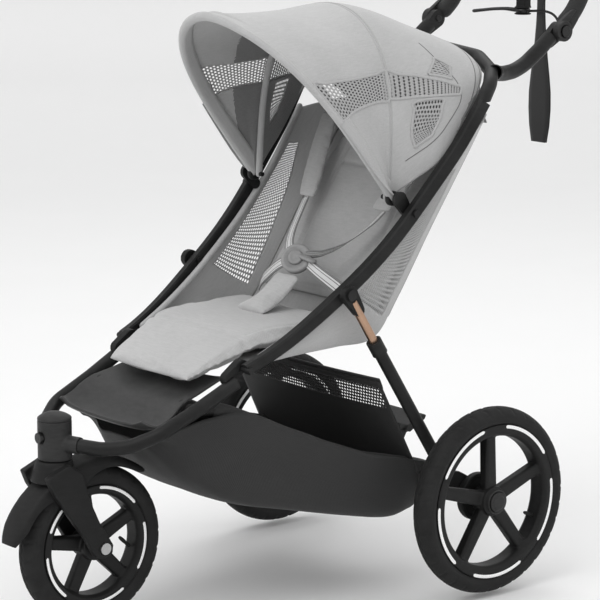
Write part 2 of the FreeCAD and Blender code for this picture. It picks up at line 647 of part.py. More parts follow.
def backrest():
    pad = [(30, 462), (28, 486), (124, 626), (220, 766), (236, 788), (258, 802), (262, 782),
           (200, 690), (128, 586), (56, 478), (42, 458)]
    fold = link_plate(RECLINE_Y, RECLINE_Z, 5.0, 38, 468, 5.0, -150, 150)
    save("backrest_pad", plate(pad, -165, 165).fuse(fold).removeSplitter())
    pads = []
    for sign in (-1, 1):
        strip = plate([(84, 630), (98, 652), (178, 770), (196, 764), (118, 648), (104, 622)],
                      sign * 30, sign * 78)
        strip = strip.cut(plate(pad, -165, 165))
        pads.append(largest(strip))
    save("shoulder_pads", Part.Compound(pads))


def harness():
    """Buckle with its push button, the crotch pad under it and the webbing to its sides."""
    lean = V(0.42, -0.72, 0.55).normalize()
    centre = V(6, -12, 551)
    body = Part.makeCylinder(BUCKLE_R, 11.0, centre - lean * 6, lean)
    body = body.cut(Part.makeCylinder(13.2, 8.0, centre + lean * 0.5, lean))
    save("buckle", body)
    button = Part.makeCylinder(13.0, 4.4, centre + lean * 3.6, lean)
    save("buckle_button", button)

    crotch = plate([(-24, 509), (-62, 484), (-92, 470), (-98, 470), (-96, 478), (-66, 496),
                    (-36, 513), (-29, 517)], -32, 32)
    lap = []
    for sign in (-1, 1):
        run = [(sign * 38, -8, 530), (sign * 80, 2, 512), (sign * 128, 18, 486)]
        wide = V(0, 0.35, 1.0).normalize() * 12
        wires = []
        for point in run:
            p = V(*point)
            corner = [p - wide, p + wide, p + wide + V(0, 2.5, 0), p - wide + V(0, 2.5, 0)]
            wires.append(Part.makePolygon(corner + [corner[0]]))
        lap.append(Part.makeLoft(wires, True, True))
    save("harness_webbing", Part.Compound([crotch] + lap))


# ---- canopy ----
def arch(foot, top, squareness, shoulder, count):
    """A hoop from the right foot over the top to the left; foot is (x, y, z), top is (y, z).

    With rise the height as a share of the whole, the half width is
    (1 - rise ** squareness) ** shoulder of the foot's.
    """
    foot_x, foot_y, foot_z = foot
    top_y, top_z = top
    points = []
    for k in range(count + 1):
        turn = math.pi * k / count
        rise = math.sin(turn)
        width = foot_x * max(0.0, 1.0 - rise ** squareness) ** shoulder
        x = width if 2 * k < count else -width
        points.append((x, foot_y + (top_y - foot_y) * rise, foot_z + (top_z - foot_z) * rise))
    return points


HOOP_COUNT = 20
HOOP_R = 3.5
HOOP_CLEAR = 7.0              # from a hoop's centre line to the outer face of its fabric
FRONT_HOOP = ((184, CANOPY_Y, CANOPY_Z), (-192, 968), 3.7, 0.59)
MID_HOOP = ((170, CANOPY_Y, CANOPY_Z), (62, 970), 3.6, 0.5)
REAR_HOOPS = (((212, 122, 726), (176, 944), 3.5, 0.46), ((216, 158, 772), (253, 913), 3.3, 0.43),
              ((212, 176, 810), (276, 892), 2.9, 0.4))


def canopy():
    front = arch(*FRONT_HOOP, HOOP_COUNT)
    mid = arch(*MID_HOOP, HOOP_COUNT)
    for name, points in (("canopy_front_bow", front), ("canopy_mid_bow", mid)):
        path = [points[0]] + points[1:-1:2] + [points[-1]]
        hoop = rod(path, HOOP_R, 70)
        for sign in (-1, 1):
            x = sign * points[0][0]
            eye = disc_x(10.0, x - HOOP_R, x + HOOP_R, CANOPY_Y, CANOPY_Z)
            hoop = hoop.fuse(eye)
        hoop = hoop.cut(disc_x(CANOPY_PIN_R + RUN_FIT, -240, 240, CANOPY_Y, CANOPY_Z))
        save(name, hoop.removeSplitter())

    inside = (0, CANOPY_Y, CANOPY_Z)
    visor = [lifted(front, HOOP_CLEAR + 1.5, inside)]
    for part, push, dip in ((0.33, 1.06, 0.08), (0.66, 1.05, 0.055)):
        row = [mixed(a, b, part) for a, b in zip(front, mid)]
        pushes = [push - dip * math.sin(math.pi * k / HOOP_COUNT) ** 4 for k in range(HOOP_COUNT + 1)]
        row = [swelled(p, factor) for p, factor in zip(row, pushes)]
        visor.append(lifted(row, HOOP_CLEAR - 2, inside))
    rear_edge = [mixed(a, b, 0.985) for a, b in zip(front, mid)]
    visor.append(lifted(rear_edge, HOOP_CLEAR, inside))
    save("canopy_front_panel", sheet_solid([row[1:-1] for row in visor], FABRIC, inside))

    rear_top = arch((211, 118, 722), (172, 943), 3.5, 0.46, HOOP_COUNT)
    crown = [lifted(mid, HOOP_CLEAR, inside)]
    half_way = [swelled(mixed(a, b, 0.5), 1.01) for a, b in zip(mid, rear_top)]
    crown.append(lifted(half_way, HOOP_CLEAR, inside))
    crown.append(rear_top)
    save("canopy_mid_panel", sheet_solid([row[1:-1] for row in crown], FABRIC, inside))

    rear = [arch(*hoop, HOOP_COUNT) for hoop in REAR_HOOPS]
    save("canopy_rear_panel", sheet_solid([row[1:-1] for row in rear], FABRIC, inside))


def mixed(a, b, part):
    return tuple(p + (q - p) * part for p, q in zip(a, b))


def swelled(point, factor):
    """Pushes a point away from the canopy pivot line, as fabric bulges between its hoops."""
    x, y, z = point
    return (x, CANOPY_Y + (y - CANOPY_Y) * factor, CANOPY_Z + (z - CANOPY_Z) * factor)


def lifted(points, amount, inside):
    """Moves an arch outwards from the point inside by a fixed amount."""
    centre = V(*inside)
    moved = []
    for point in points:
        p = V(*point)
        out = p - centre
        out = out.normalize()
        moved.append(tuple(p + out * amount))
    return moved


# ---- handlebar ----
def handlebar():
    """The grip bar, its pivot housings, the brake lever with its mount, cable and wrist strap."""
    side = [(GRIP_X, GRIP_Y + 14, GRIP_Z + 10), (GRIP_X, GRIP_Y + 34, GRIP_Z + 32),
            (GRIP_X, GRIP_Y + 58, GRIP_Z + 66)]
    corner = [(132, 506, GRIP_TOP_Z - 2), (86, 506, GRIP_TOP_Z)]
    run = side + corner + [(-x, y, z) for x, y, z in reversed(side + corner)]
    bar = rod(run, GRIP_R, 60)
    for sign in (-1, 1):
        bar = bar.cut(disc_x(17.8, sign * (GRIP_X - 20), sign * (GRIP_X + 20), GRIP_Y, GRIP_Z))
    save("grip_bar", largest(bar))
    housings = []
    for sign in (-1, 1):
        face = sign * (GRIP_X + 6.5)
        outer = disc_x(17.5, face, sign * (GRIP_X + 21), GRIP_Y, GRIP_Z)
        outer = outer.fuse(link_plate(GRIP_Y, GRIP_Z, 17.5, GRIP_Y + 26, GRIP_Z + 24, 12,
                                      face, sign * (GRIP_X + 15)))
        outer = largest(outer.cut(bar))
        trunnion = disc_x(PIVOT_PIN_R - RUN_FIT, sign * (GRIP_X - 9), sign * (GRIP_X + 10), GRIP_Y, GRIP_Z)
        outer = outer.fuse(trunnion)
        outer = outer.cut(disc_x(10.3, sign * (GRIP_X + 15), sign * (GRIP_X + 23), GRIP_Y, GRIP_Z))
        housings.append(outer.removeSplitter())
    save("grip_pivots", Part.Compound(housings))
    for side_name, sign in (("left", 1), ("right", -1)):
        cap = disc_x(10.0, sign * (GRIP_X + 18.5), sign * (GRIP_X + 24), GRIP_Y, GRIP_Z)
        save("handle_button_" + side_name, cap)

    clamp = Part.makeCylinder(20.0, 26.0, V(-6, 506, GRIP_TOP_Z), V(1, 0, 0))
    clamp = clamp.cut(Part.makeCylinder(GRIP_R, 40.0, V(-16, 506, GRIP_TOP_Z), V(1, 0, 0)))
    drop = block(-4, 18, 496, 512, 940, GRIP_TOP_Z - 16)
    drop = drop.fuse(Part.makeCylinder(15.0, 14.0, V(10, 500, 934), V(0, 0, 1)))
    drop = drop.cut(Part.makeCylinder(15.4, 9.2, V(10, 500, 936.4), V(0, 0, 1)))
    drop = drop.fuse(Part.makeCylinder(LEVER_PIN_R, 14.0, V(10, 500, 934), V(0, 0, 1)))
    mount = clamp.fuse(drop)
    save("lever_mount", mount.removeSplitter())
    lever = Part.makeCylinder(13.0, 8.0, V(10, 500, 937), V(0, 0, 1))
    path = [(4, 494, 941), (-20, 485, 941), (-44, 472, 942), (-66, 452, 938)]
    lever = lever.fuse(rod(path, LEVER_R, 60))
    lever = lever.cut(Part.makeCylinder(LEVER_PIN_R + RUN_FIT, 14.0, V(10, 500, 934), V(0, 0, 1)))
    save("brake_lever", lever.removeSplitter())


CABLE_ROUTE = [(26, 500, 941), (49, 500, 943), (73, 496, 944), (97, 488, 942), (119, 477, 937),
               (138, 464, 929)]
CABLE_R = 2.2


def brake_cable():
    save("brake_cable", rod(CABLE_ROUTE, CABLE_R, 120))


def wrist_strap():
    """A folded loop of webbing that hangs from the crossbar, widening towards its bight."""
    wires = []
    for z, half in ((978, 8), (900, 10), (830, 17), (770, 25), (730, 26), (710, 20)):
        pts = [V(50 - half, 504, z), V(50 + half, 504, z), V(50 + half, 511, z), V(50 - half, 511, z)]
        wires.append(Part.makePolygon(pts + [pts[0]]))
    save("wrist_strap", Part.makeLoft(wires, True, True))


def main():
    front_frame()
    footrest()
    swivel_button()
    fork()
    fender()
    front_wheel()
    rear_frame()
    basket()
    basket_back()
    brake_pedal()
    rear_wheel("left", 1)
    rear_wheel("right", -1)
    rear_legs()
    top_frame()
    frame_pins()
    seat()
    backrest()
    harness()
    canopy()
    handlebar()
    brake_cable()
    wrist_strap()


main()
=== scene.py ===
"""Jogging stroller: the looks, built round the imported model.

Every place is in the row frame and in metres.  at() turns the drawing's millimetres, which
count Y from a station 31.4 mm ahead of the origin, into such a place.
"""
import bpy
import json
import math
import numpy as np
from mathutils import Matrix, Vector, geometry


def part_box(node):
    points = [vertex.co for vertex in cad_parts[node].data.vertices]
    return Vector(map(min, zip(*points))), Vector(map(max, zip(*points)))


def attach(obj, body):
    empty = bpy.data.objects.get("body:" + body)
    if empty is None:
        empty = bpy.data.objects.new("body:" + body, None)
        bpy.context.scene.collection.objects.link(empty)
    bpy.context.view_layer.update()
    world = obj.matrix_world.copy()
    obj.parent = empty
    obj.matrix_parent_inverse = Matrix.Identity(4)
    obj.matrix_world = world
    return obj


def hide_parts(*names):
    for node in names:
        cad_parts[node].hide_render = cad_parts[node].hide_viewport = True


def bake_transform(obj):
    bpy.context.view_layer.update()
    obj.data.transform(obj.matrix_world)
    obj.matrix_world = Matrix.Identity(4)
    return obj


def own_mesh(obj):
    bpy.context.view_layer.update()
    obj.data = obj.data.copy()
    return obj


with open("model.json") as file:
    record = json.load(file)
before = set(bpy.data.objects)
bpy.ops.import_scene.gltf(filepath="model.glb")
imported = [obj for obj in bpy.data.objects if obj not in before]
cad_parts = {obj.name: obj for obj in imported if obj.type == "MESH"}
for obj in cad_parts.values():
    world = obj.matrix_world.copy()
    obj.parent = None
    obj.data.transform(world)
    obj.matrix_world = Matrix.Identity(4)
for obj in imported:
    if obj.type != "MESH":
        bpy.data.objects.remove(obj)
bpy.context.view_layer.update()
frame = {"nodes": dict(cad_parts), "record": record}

BODY_OF = {node: body for body, nodes in frame["record"]["behaviour"]["bodies"].items() for node in nodes}
MM = 0.001
ORIGIN_Y = 31.4
SIDES = (("left", 1), ("right", -1))


# ---- places and lines ----
def at(x, y, z):
    return np.array((x, y + ORIGIN_Y, z), float) * MM


def ats(points):
    return np.array([at(*p) for p in points])


def mirror(points):
    return np.asarray(points, float) * np.array((-1.0, 1.0, 1.0))


def centre_of(node):
    low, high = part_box(node)
    return np.array((low + high) / 2)


def evenly(line, count):
    """count points, evenly spaced along a polyline"""
    steps = np.linalg.norm(np.diff(line, axis=0), axis=1)
    run = np.concatenate(([0.0], np.cumsum(steps)))
    places = np.linspace(0.0, run[-1], count)
    return np.stack([np.interp(places, run, line[:, k]) for k in range(line.shape[1])], axis=1)


def spline(points, count):
    """count points, evenly spaced along the smooth line through the given ones"""
    pts = np.asarray(points, float)
    ends = np.vstack([2 * pts[:1] - pts[1:2], pts, 2 * pts[-1:] - pts[-2:-1]])
    t = np.linspace(0.0, 1.0, 24, endpoint=False)[:, None]
    fine = []
    for a, b, c, d in zip(ends, ends[1:], ends[2:], ends[3:]):
        fine.append(0.5 * (2 * b + (c - a) * t + (2 * a - 5 * b + 4 * c - d) * t ** 2
                           + (3 * b - a - 3 * c + d) * t ** 3))
    return evenly(np.vstack(fine + [pts[-1:]]), count)


def along(line, count_per_metre=400):
    """a smooth line through the points, sampled by its length"""
    length = np.linalg.norm(np.diff(np.asarray(line, float), axis=0), axis=1).sum()
    return spline(line, max(6, int(length * count_per_metre)))


def unit(v):
    v = np.asarray(v, float)
    return v / np.maximum(np.linalg.norm(v, axis=-1, keepdims=True), 1e-12)


def smooth_step(t):
    t = np.clip(t, 0.0, 1.0)
    return t * t * (3 - 2 * t)


def arch(foot, top, squareness, shoulder, count):
    """A canopy hoop from its left foot over the top; foot is (x, y, z) and top is (y, z), in mm."""
    rise = np.sin(np.linspace(0.0, math.pi, 181))
    width = foot[0] * np.clip(1.0 - rise ** squareness, 0.0, 1.0) ** shoulder
    x = np.concatenate((width[:91], -width[91:]))
    line = np.stack((x, foot[1] + (top[0] - foot[1]) * rise + ORIGIN_Y,
                     foot[2] + (top[1] - foot[2]) * rise), axis=1)
    return evenly(line * MM, count)


# ---- meshes ----
def new_object(name, verts, faces, uvs=None):
    mesh = bpy.data.meshes.new(name)
    mesh.from_pydata([tuple(v) for v in verts], [], faces)
    if uvs is not None:
        layer = mesh.uv_layers.new(name="UVMap")
        layer.data.foreach_set("uv", np.asarray(uvs, np.float32).ravel())
    mesh.polygons.foreach_set("use_smooth", [True] * len(mesh.polygons))
    obj = bpy.data.objects.new(name, mesh)
    bpy.context.scene.collection.objects.link(obj)
    return obj


def grid(name, rows, wrap=False, capped=False, across=None):
    """A quad mesh over rows of points.  wrap joins the ends of each row, and the UVs are lengths
    in metres along the rows' stack and along each row, or `across` for the second one."""
    p = np.asarray(rows, float)
    m, n = p.shape[:2]
    columns = n if wrap else n - 1
    ring = np.concatenate((p, p[:, :1]), axis=1) if wrap else p
    down = np.zeros((m, ring.shape[1]))
    down[1:] = np.cumsum(np.linalg.norm(np.diff(ring, axis=0), axis=2), axis=0)
    side = np.zeros((m, ring.shape[1]))
    side[:, 1:] = np.cumsum(np.linalg.norm(np.diff(ring, axis=1), axis=2), axis=1)
    if across is not None:
        side = np.tile(np.asarray(across, float), (m, 1))
    faces, uvs = [], []
    for i in range(m - 1):
        for j in range(columns):
            k = (j + 1) % n
            faces.append((i * n + j, i * n + k, (i + 1) * n + k, (i + 1) * n + j))
            for a, b in ((i, j), (i, j + 1), (i + 1, j + 1), (i + 1, j)):
                uvs.append((down[a, b], side[a, b]))
    if capped:
        for first, order in ((0, range(n - 1, -1, -1)), ((m - 1) * n, range(n))):
            faces.append(tuple(first + k for k in order))
            uvs += [(0.0, 0.0)] * n
    return new_object(name, p.reshape(-1, 3), faces, uvs)


def headings(line):
    ahead = np.gradient(np.asarray(line, float), axis=0)
    return unit(ahead)


def turning_frames(line):
    """two unit vectors across the line at each point, carried along it without twist"""
    ahead = headings(line)
    first = np.cross(ahead[0], (0.0, 0.0, 1.0))
    if np.linalg.norm(first) < 0.1:
        first = np.cross(ahead[0], (1.0, 0.0, 0.0))
    sides = [unit(first)]
    for a in ahead[1:]:
        s = sides[-1] - a * np.dot(sides[-1], a)
        sides.append(unit(s))
    sides = np.array(sides)
    return sides, np.cross(ahead, sides)


def tube(name, line, radius, sides=16, flatten=1.0, round_ends=True):
    """A round bar along a line; radius is one number or one for each point."""
    line = np.asarray(line, float)
    radii = np.broadcast_to(np.asarray(radius, float), (len(line),)).copy()
    side, up = turning_frames(line)
    ahead = headings(line)
    if round_ends:
        for end, sign in ((0, -1), (-1, 1)):
            r = radii[end]
            bulge = [(line[end] + ahead[end] * sign * r * math.sin(a), r * math.cos(a))
                     for a in (0.45, 0.9, 1.3)]
            if sign < 0:
                bulge = bulge[::-1]
            points = np.array([b[0] for b in bulge])
            shrunk = np.array([b[1] for b in bulge])
            repeat = np.repeat([side[end]], 3, axis=0), np.repeat([up[end]], 3, axis=0)
            if sign < 0:
                line = np.vstack((points, line))
                radii = np.concatenate((shrunk, radii))
                side, up = np.vstack((repeat[0], side)), np.vstack((repeat[1], up))
                ahead = np.vstack((np.repeat([ahead[0]], 3, axis=0), ahead))
            else:
                line = np.vstack((line, points))
                radii = np.concatenate((radii, shrunk))
                side, up = np.vstack((side, repeat[0])), np.vstack((up, repeat[1]))
    turn = np.linspace(0.0, 2 * math.pi, sides, endpoint=False)
    rows = (line[:, None] + radii[:, None, None]
            * (np.cos(turn)[None, :, None] * side[:, None] + flatten * np.sin(turn)[None, :, None] * up[:, None]))
    return grid(name, rows, wrap=True, capped=True)


def strap(name, line, across, width, thick, width_end=None):
    """A flat band along a line; across is the direction of its width, one or one a point."""
    line = np.asarray(line, float)
    ahead = headings(line)
    wide = np.broadcast_to(np.asarray(across, float), line.shape)
    wide = unit(wide - ahead * np.sum(wide * ahead, axis=1, keepdims=True))
    up = np.cross(ahead, wide)
    widths = np.interp(np.linspace(0, 1, len(line)), np.linspace(0, 1, len(np.atleast_1d(width))),
                       np.atleast_1d(width))
    edge = 0.5 * thick
    section = [(-0.5, 0.0), (-0.485, 0.8), (-0.3, 1.0), (0.0, 1.0), (0.3, 1.0), (0.485, 0.8),
               (0.5, 0.0), (0.485, -0.8), (0.3, -1.0), (0.0, -1.0), (-0.3, -1.0), (-0.485, -0.8)]
    rows = [[c + w * a * size + u * b * edge for a, b in section]
            for c, w, u, size in zip(line, wide, up, widths)]
    return grid(name, rows, wrap=True, capped=True, across=[a for a, b in section] + [section[0][0]])


def lathe(name, profile, centre, axis=(1, 0, 0), segments=64, closed=False):
    """A surface of revolution; profile holds (distance along the axis, radius) in mm."""
    axis = unit(axis)
    side = unit(np.cross(axis, (0.0, 0.0, 1.0) if abs(axis[2]) < 0.9 else (1.0, 0.0, 0.0)))
    up = np.cross(axis, side)
    turn = np.linspace(0.0, 2 * math.pi, segments, endpoint=False)
    out = np.cos(turn)[:, None] * side + np.sin(turn)[:, None] * up
    rows = [centre + axis * a * MM + out * r * MM for a, r in profile]
    if closed:
        rows.append(rows[0])
    return grid(name, rows, wrap=True)


def applied(obj, *modifiers):
    """Adds the modifiers, (type, settings) each, and bakes them into the mesh."""
    for kind, settings in modifiers:
        m = obj.modifiers.new(kind.lower(), kind)
        for key, value in settings.items():
            setattr(m, key, value)
    done = bpy.data.meshes.new_from_object(obj.evaluated_get(bpy.context.evaluated_depsgraph_get()))
    obj.modifiers.clear()
    obj.data = done
    done.polygons.foreach_set("use_smooth", [True] * len(done.polygons))
    return obj


def moulded(node, voxel, rounds, name=None):
    """A CAD node's shape with its edges softened, as it leaves a mould or a casting."""
    source = frame["nodes"][node]
    obj = bpy.data.objects.new(name or node + "_body", source.data.copy())
    obj.data.materials.clear()
    bpy.context.scene.collection.objects.link(obj)
    applied(obj, ("REMESH", {"mode": "VOXEL", "voxel_size": voxel}),
            ("SMOOTH", {"factor": 0.5, "iterations": rounds}))
    return fitted(obj, BODY_OF[node], node)


def fitted(obj, body, *nodes):
    """obj rides on a body and stands for some of its CAD nodes."""
    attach(obj, body)
    if nodes:
        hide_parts(*nodes)
    return obj


def painted(obj, material):
    obj.data.materials.clear()
    obj.data.materials.append(material)
    return obj


def joined(name, objects):
    """one object from several that share a material"""
    verts, faces, uvs = [], [], []
    for o in objects:
        first = len(verts)
        verts += [tuple(v.co) for v in o.data.vertices]
        faces += [tuple(first + k for k in p.vertices) for p in o.data.polygons]
        layer = o.data.uv_layers.active
        uvs += [tuple(d.uv) for d in layer.data] if layer else [(0.0, 0.0)] * len(o.data.loops)
        bpy.data.objects.remove(o)
    return new_object(name, verts, faces, uvs)


def bend(obj):
    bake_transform(obj)
    return obj


# ---- materials ----
class Finish:
    """One node material: a Principled shader and what feeds it."""

    def __init__(self, name, **fixed):
        self.material = bpy.data.materials.new(name)
        self.material.use_nodes = True
        self.tree = self.material.node_tree
        self.shader = self.tree.nodes["Principled BSDF"]
        for socket, value in fixed.items():
            self.shader.inputs[socket.replace("_", " ")].default_value = value

    def add(self, kind, sockets=None, **settings):
        node = self.tree.nodes.new("ShaderNode" + kind)
        for key, value in settings.items():
            setattr(node, key, value)
        for key, value in (sockets or {}).items():
            if isinstance(value, bpy.types.Node):
                value = value.outputs[0]
            if isinstance(value, bpy.types.NodeSocket):
                self.tree.links.new(value, node.inputs[key])
            else:
                node.inputs[key].default_value = value
        return node

    def maths(self, operation, a, b=0.0):
        return self.add("Math", {0: a, 1: b}, operation=operation)

    def between(self, value, low, high, new_low, new_high):
        return self.add("MapRange", {0: value, 1: low, 2: high, 3: new_low, 4: new_high})

    def place(self, uv):
        return self.add("TexCoord").outputs["UV" if uv else "Object"]

    def stretched(self, place, scale):
        return self.add("Mapping", {"Vector": place, "Scale": scale})

    def noise(self, place, scale, detail=3.0, rough=0.6):
        return self.add("TexNoise", {"Vector": place, "Scale": scale, "Detail": detail, "Roughness": rough})

    def colour(self, share, low, high):
        node = self.add("MixRGB", {0: share, 1: (*low, 1), 2: (*high, 1)})
        return node

    def use(self, socket, node):
        self.tree.links.new(node.outputs[0] if isinstance(node, bpy.types.Node) else node,
                            self.shader.inputs[socket])

    def bump(self, height, strength, distance):
        node = self.add("Bump", {"Height": height, "Strength": strength, "Distance": distance})
        self.use("Normal", node)


def grey(level, tint=(1.0, 1.0, 1.0), gain=1.0):
    """a linear colour from a display grey of 0 to 255"""
    s = level / 255.0
    linear = s / 12.92 if s <= 0.04045 else ((s + 0.055) / 1.055) ** 2.4
    return tuple(linear * t * gain for t in tint)


def cloth(name, low, high, pitch=0.0013, uv=True, spread=(1, 0, 0), rise=(0, 0.7, 0.7), bump=0.35,
          rough=0.9, sheen=0.3):
    """Woven fabric: over-and-under threads with painted shade where they dip under, a melange of lighter and darker
    yarns, faint ribs and a broad unevenness from handling.  Without UVs the threads run along spread and rise."""
    f = Finish(name, Roughness=rough, Sheen_Weight=sheen, Sheen_Roughness=0.6)
    place = f.place(uv)
    if uv:
        parts = f.add("SeparateXYZ", {0: place})
        u, v = parts.outputs[0], parts.outputs[1]
    else:
        u = f.add("VectorMath", {0: place, 1: spread}, operation="DOT_PRODUCT").outputs["Value"]
        v = f.add("VectorMath", {0: place, 1: rise}, operation="DOT_PRODUCT").outputs["Value"]
    plane = f.add("CombineXYZ", {0: u, 1: v})
    warp = f.maths("SINE", f.maths("MULTIPLY", u, math.pi / pitch))
    weft = f.maths("SINE", f.maths("MULTIPLY", v, math.pi / pitch))
    weave = f.between(f.maths("MULTIPLY", warp, weft), -1.0, 1.0, 0.0, 1.0)
    yarn = f.noise(f.stretched(plane, (900, 110, 1)), 1.0, 2.0)
    rib = f.noise(f.stretched(plane, (45, 330, 1)), 1.0, 2.0)
    worn = f.noise(place, 9.0, 3.0)
    tone = f.add("MixRGB", {0: 0.5, 1: yarn, 2: rib})
    tone = f.add("MixRGB", {0: 0.35, 1: tone, 2: worn})
    # the weave's low places darken the colour: painted shade between the threads
    tone = f.add("MixRGB", {0: 0.22, 1: tone, 2: weave})
    f.use("Base Color", f.colour(f.between(tone, 0.3, 0.7, 0.0, 1.0), low, high))
    f.bump(f.maths("ADD", weave, f.maths("MULTIPLY", yarn, 0.6)), bump, pitch * 0.35)
    return f.material


def moulding(name, low, high, rough=(0.45, 0.6), grain=2200.0, bump=0.25, specular=0.22, wear=0.22,
             worn_to=None):
    """Moulded plastic or coated metal: a fine grain, uneven gloss and rubbed edges."""
    f = Finish(name, Specular_IOR_Level=specular)
    place = f.place(False)
    fine = f.noise(place, grain, 2.0)
    broad = f.noise(place, 14.0, 4.0)
    streak = f.noise(f.stretched(place, (60, 60, 240)), 1.0, 2.0)
    tone = f.add("MixRGB", {0: 0.4, 1: broad, 2: streak})
    base = f.colour(f.between(tone, 0.35, 0.68, 0.0, 1.0), low, high)
    edge = f.between(f.add("NewGeometry").outputs["Pointiness"], 0.52, 0.6, 0.0, wear)
    rubbed = f.maths("MULTIPLY", edge, f.between(broad, 0.4, 0.62, 0.2, 1.0))
    worn = worn_to or tuple(min(1.0, 3.0 * c + 0.02) for c in high)
    f.use("Base Color", f.add("MixRGB", {0: rubbed, 1: base, 2: (*worn, 1)}))
    f.use("Roughness", f.between(f.maths("ADD", fine, broad), 0.7, 1.3, rough[0], rough[1]))
    f.bump(fine, bump, 0.0002)
    return f.material


def rubber():
    """Tyre rubber: matt, with a random mottling of dust."""
    f = Finish("tyre_rubber", Specular_IOR_Level=0.2)
    place = f.place(False)
    dust = f.noise(place, 34.0, 5.0)
    fine = f.noise(place, 900.0, 3.0)
    tone = f.add("MixRGB", {0: 0.3, 1: dust, 2: fine})
    f.use("Base Color", f.colour(f.between(tone, 0.35, 0.72, 0.0, 1.0), grey(24), grey(44)))
    f.use("Roughness", f.between(dust, 0.3, 0.7, 0.62, 0.85))
    f.bump(fine, 0.3, 0.0003)
    return f.material


def webbing_finish(name, base, light=None, dark=None):
    """Woven strap: a herringbone of fine ribs, and with light and dark given, stripes along it."""
    f = Finish(name, Roughness=0.85, Sheen_Weight=0.2)
    parts = f.add("SeparateXYZ", {0: f.place(True)})
    u, v = parts.outputs[0], parts.outputs[1]
    side = f.maths("ABSOLUTE", v)
    slant = f.maths("ADD", f.maths("MULTIPLY", u, 2600.0), f.maths("MULTIPLY", side, 46.0))
    rib = f.between(f.maths("SINE", slant), -1.0, 1.0, 0.0, 1.0)
    mottle = f.noise(f.stretched(f.place(True), (700, 30, 1)), 1.0, 3.0)
    tone = f.add("MixRGB", {0: 0.5, 1: rib, 2: mottle})
    low = tuple(0.72 * c for c in base)
    colour = f.colour(tone, low, base)
    if light:
        for first, last, ink in ((0.0, 0.15, light), (0.15, 0.2, dark), (0.2, 0.33, light), (0.33, 0.37, dark)):
            inside = f.maths("MULTIPLY", f.maths("GREATER_THAN", side, first - 1e-4),
                             f.maths("LESS_THAN", side, last))
            shade = f.add("MixRGB", {0: tone, 1: (*(0.8 * c for c in ink), 1), 2: (*ink, 1)})
            colour = f.add("MixRGB", {0: inside, 1: colour, 2: shade})
    f.use("Base Color", colour)
    f.bump(rib, 0.4, 0.0003)
    return f.material


def leather():
    """The handlebar's wrap: pebbled leatherette."""
    f = Finish("grip_wrap", Roughness=0.5, Specular_IOR_Level=0.25)
    place = f.place(False)
    cell = f.add("TexVoronoi", {"Vector": place, "Scale": 620.0}, feature="DISTANCE_TO_EDGE")
    pores = f.between(cell, 0.0, 0.2, 0.0, 1.0)
    broad = f.noise(place, 25.0, 4.0)
    tone = f.add("MixRGB", {0: 0.55, 1: pores, 2: broad})
    f.use("Base Color", f.colour(tone, grey(20), grey(46)))
    f.use("Roughness", f.between(broad, 0.3, 0.7, 0.42, 0.62))
    f.bump(pores, 0.45, 0.0004)
    return f.material


def brushed(name, low, high, rough, stretch=(40, 900, 40)):
    """Bare or anodised metal with fine drawing lines along it."""
    f = Finish(name, Metallic=1.0)
    lines = f.noise(f.stretched(f.place(False), stretch), 1.0, 4.0)
    smear = f.noise(f.place(False), 30.0, 3.0)
    f.use("Base Color", f.colour(f.add("MixRGB", {0: 0.4, 1: lines, 2: smear}), low, high))
    f.use("Roughness", f.between(lines, 0.3, 0.7, rough - 0.08, rough + 0.1))
    f.bump(lines, 0.15, 0.0001)
    return f.material


def reflector():
    """Retro-reflective tape: white, with a fine honeycomb of cells."""
    f = Finish("reflective_white", Roughness=0.3)
    cell = f.add("TexVoronoi", {"Vector": f.place(False), "Scale": 900.0}, feature="DISTANCE_TO_EDGE")
    f.use("Base Color", f.colour(f.between(cell, 0.0, 0.08, 0.0, 1.0), grey(205), grey(250)))
    f.bump(cell, 0.2, 0.0002)
    return f.material


def floor_finish():
    f = Finish("studio_floor", Roughness=0.8)
    tone = f.noise(f.place(False), 3.0, 3.0)
    f.use("Base Color", f.colour(tone, (0.86, 0.86, 0.86), (0.88, 0.88, 0.88)))
    return f.material


FABRIC = cloth("canopy_grey", grey(150), grey(182), pitch=0.0012)
FABRIC_SEAT = cloth("seat_grey", grey(154), grey(188), uv=False, spread=(1, 0, 0), rise=(0, 0.7, 0.7))
FABRIC_SIDE = cloth("side_grey", grey(150), grey(182), pitch=0.0013)
# the canopy fabric in a darker grey: painted shade for the canopy's inside and the rear lining
FABRIC_PAINTED_SHADE = cloth("canopy_inside_painted_shade", grey(96), grey(124), pitch=0.0012)
FABRIC_BLACK = cloth("basket_black", grey(20), grey(36), pitch=0.0016, rough=0.75, sheen=0.05)
NET_GREY = cloth("net_grey", grey(140), grey(172), pitch=0.0009)
NET_BLACK = cloth("net_black", grey(20), grey(38), pitch=0.0009, sheen=0.05)
PIPING = cloth("piping_grey", grey(146), grey(176), pitch=0.0008)
PIPING_DARK = cloth("piping_dark", grey(84), grey(110), pitch=0.0008)
WEBBING = webbing_finish("webbing_striped", grey(135), grey(222), grey(70))
WEBBING_BLACK = webbing_finish("webbing_black", grey(36))
FRAME_BLACK = moulding("frame_black", grey(18), grey(29), (0.4, 0.55))
PLASTIC = moulding("plastic_black", grey(18), grey(30), (0.5, 0.66), grain=1500.0, bump=0.4)
PLASTIC_SOFT = moulding("plastic_satin", grey(34), grey(50), (0.42, 0.56), grain=1400.0, bump=0.3)
PLASTIC_PANEL = moulding("plastic_panel", grey(46), grey(62), (0.4, 0.55), grain=1400.0, bump=0.3)
PLASTIC_GLOSS = moulding("plastic_gloss", grey(14), grey(24), (0.2, 0.32), specular=0.4)
RIM_BLACK = moulding("rim_black", grey(17), grey(28), (0.42, 0.58), grain=1300.0, bump=0.3)
BUCKLE_GREY = moulding("buckle_grey", grey(134), grey(152), (0.42, 0.55), grain=1500.0, worn_to=grey(190))
RUBBER = rubber()
WRAP = leather()
STEEL = brushed("steel", grey(150), grey(205), 0.3)
